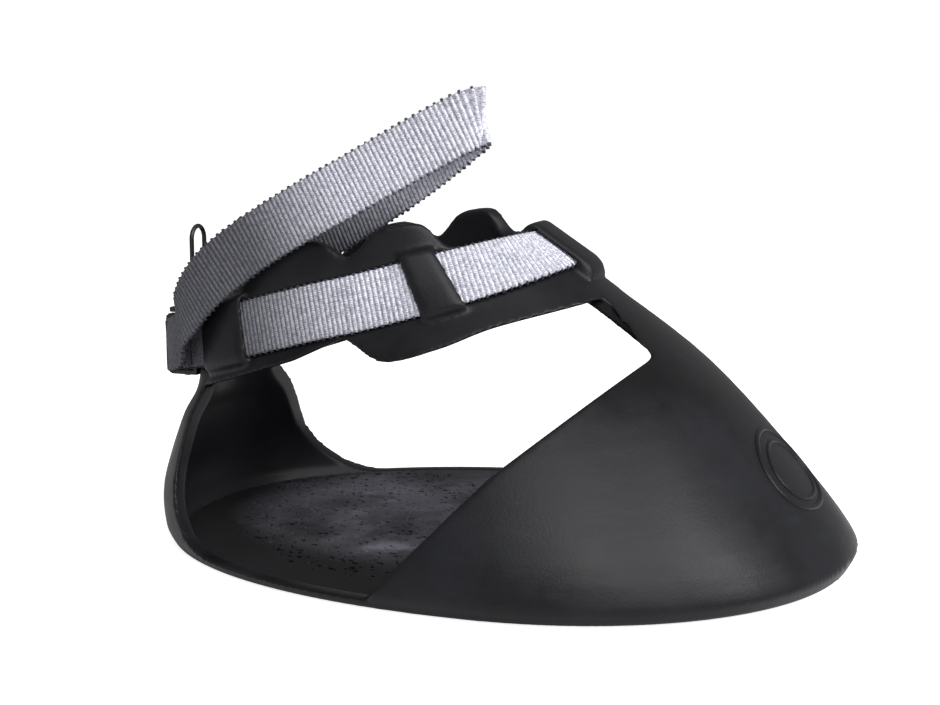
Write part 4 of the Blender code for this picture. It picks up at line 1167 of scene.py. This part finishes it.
# %% [markdown]
# ## Floor, light and camera
# The photograph is a plain studio cut-out: white all round, soft light from above and from
# the right, and one broad glow on the near quarter. Only the camera sees the white at its
# full strength, and the gloss sees a small share, so the rubber keeps its own dark tone.

# %% White floor
FLOOR_HALF, FLOOR_DROP, FLOOR_GLOW = 8.0, 0.02 * MM, 0.85
GLOSS_SHARE, AMBIENT = 0.08, 0.21
WHITE = (1, 1, 1)


def seen_rays(tree):
    """One for rays that see the white background, and a small share of it for gloss."""
    path = node(tree, "ShaderNodeLightPath", {}).node.outputs
    gloss = maths(tree, "MULTIPLY", path["Is Glossy Ray"], GLOSS_SHARE)
    seen = maths(tree, "MAXIMUM", path["Is Camera Ray"], path["Is Transmission Ray"])
    return maths(tree, "MAXIMUM", seen, gloss)


mesh = bpy.data.meshes.new("studio_floor")
corners = rectangle(-FLOOR_HALF, FLOOR_HALF, -FLOOR_HALF, FLOOR_HALF)
mesh.from_pydata([(x, y, -FLOOR_DROP) for x, y in corners], [], [(0, 1, 2, 3)])
studio_floor = add_object("studio_floor", mesh)
plain = {"Roughness": 0.9, "Specular IOR Level": 0.1, "Base Color": (0.86, 0.86, 0.87)}
floor_paint, tree, shader = principled("white_floor", plain)
glow = maths(tree, "MULTIPLY", seen_rays(tree), FLOOR_GLOW)
fill(tree, {"Emission Color": WHITE, "Emission Strength": glow}, shader)
mesh.materials.append(floor_paint)

world = bpy.data.worlds.new("studio")
bpy.context.scene.world = world
world.use_nodes = True
tree = world.node_tree
strength = maths(tree, "MULTIPLY_ADD", seen_rays(tree), 1.0 - AMBIENT, AMBIENT)
fill(tree, {"Color": WHITE, "Strength": strength}, tree.nodes["Background"].inputs)
print("Floor:", 2 * FLOOR_HALF, "m square, ambient light:", AMBIENT)

# %% Lamps
LAMP_TARGET = Vector((0, 0, 40)) * MM
# Name, place, size in metres and power in watts
LAMPS = (
    ("key", (0.62, -0.78, 0.85), 0.9, 14.0),
    ("glow", (0.88, -0.08, 0.62), 0.28, 5.5),
    ("top", (0.1, -0.2, 1.1), 0.7, 1.5),
)


def aim(name, data, place, direction):
    """A lamp or a camera at a place, facing a direction."""
    made = add_object(name, data)
    made.location = place
    made.rotation_euler = direction.to_track_quat("-Z", "Y").to_euler()
    return made


for name, place, size, power in LAMPS:
    data = bpy.data.lights.new(name, "AREA")
    data.shape = "SQUARE"
    data.size = size
    data.energy = power
    aim(name, data, place, LAMP_TARGET - Vector(place))
print("Lamps:", *(lamp[0] for lamp in LAMPS))

# %% Camera
FOCAL_PIXELS, IMAGE_WIDTH, SENSOR = 1728.0, 940.0, 36.0
AZIMUTH, ELEVATION, DISTANCE = radians(20), radians(9), 0.48
LOOK_AT, CLIP_START = Vector((-10, 0, 52)) * MM, 0.01
level = cos(ELEVATION)
away = Vector((sin(AZIMUTH) * level, -cos(AZIMUTH) * level, sin(ELEVATION)))
data = bpy.data.cameras.new("photo_view")
data.sensor_width = SENSOR
data.lens = FOCAL_PIXELS * SENSOR / IMAGE_WIDTH
data.clip_start = CLIP_START
bpy.context.scene.camera = aim("photo_view", data, LOOK_AT + away * DISTANCE, -away)
bpy.context.scene.view_settings.view_transform = "Standard"
print("Lens:", round(data.lens, 2), "mm")

# %% [markdown]
# ## Update the scene
# The view layer is brought up to date with every piece in place.

# %% Update the view layer
bpy.context.view_layer.update()
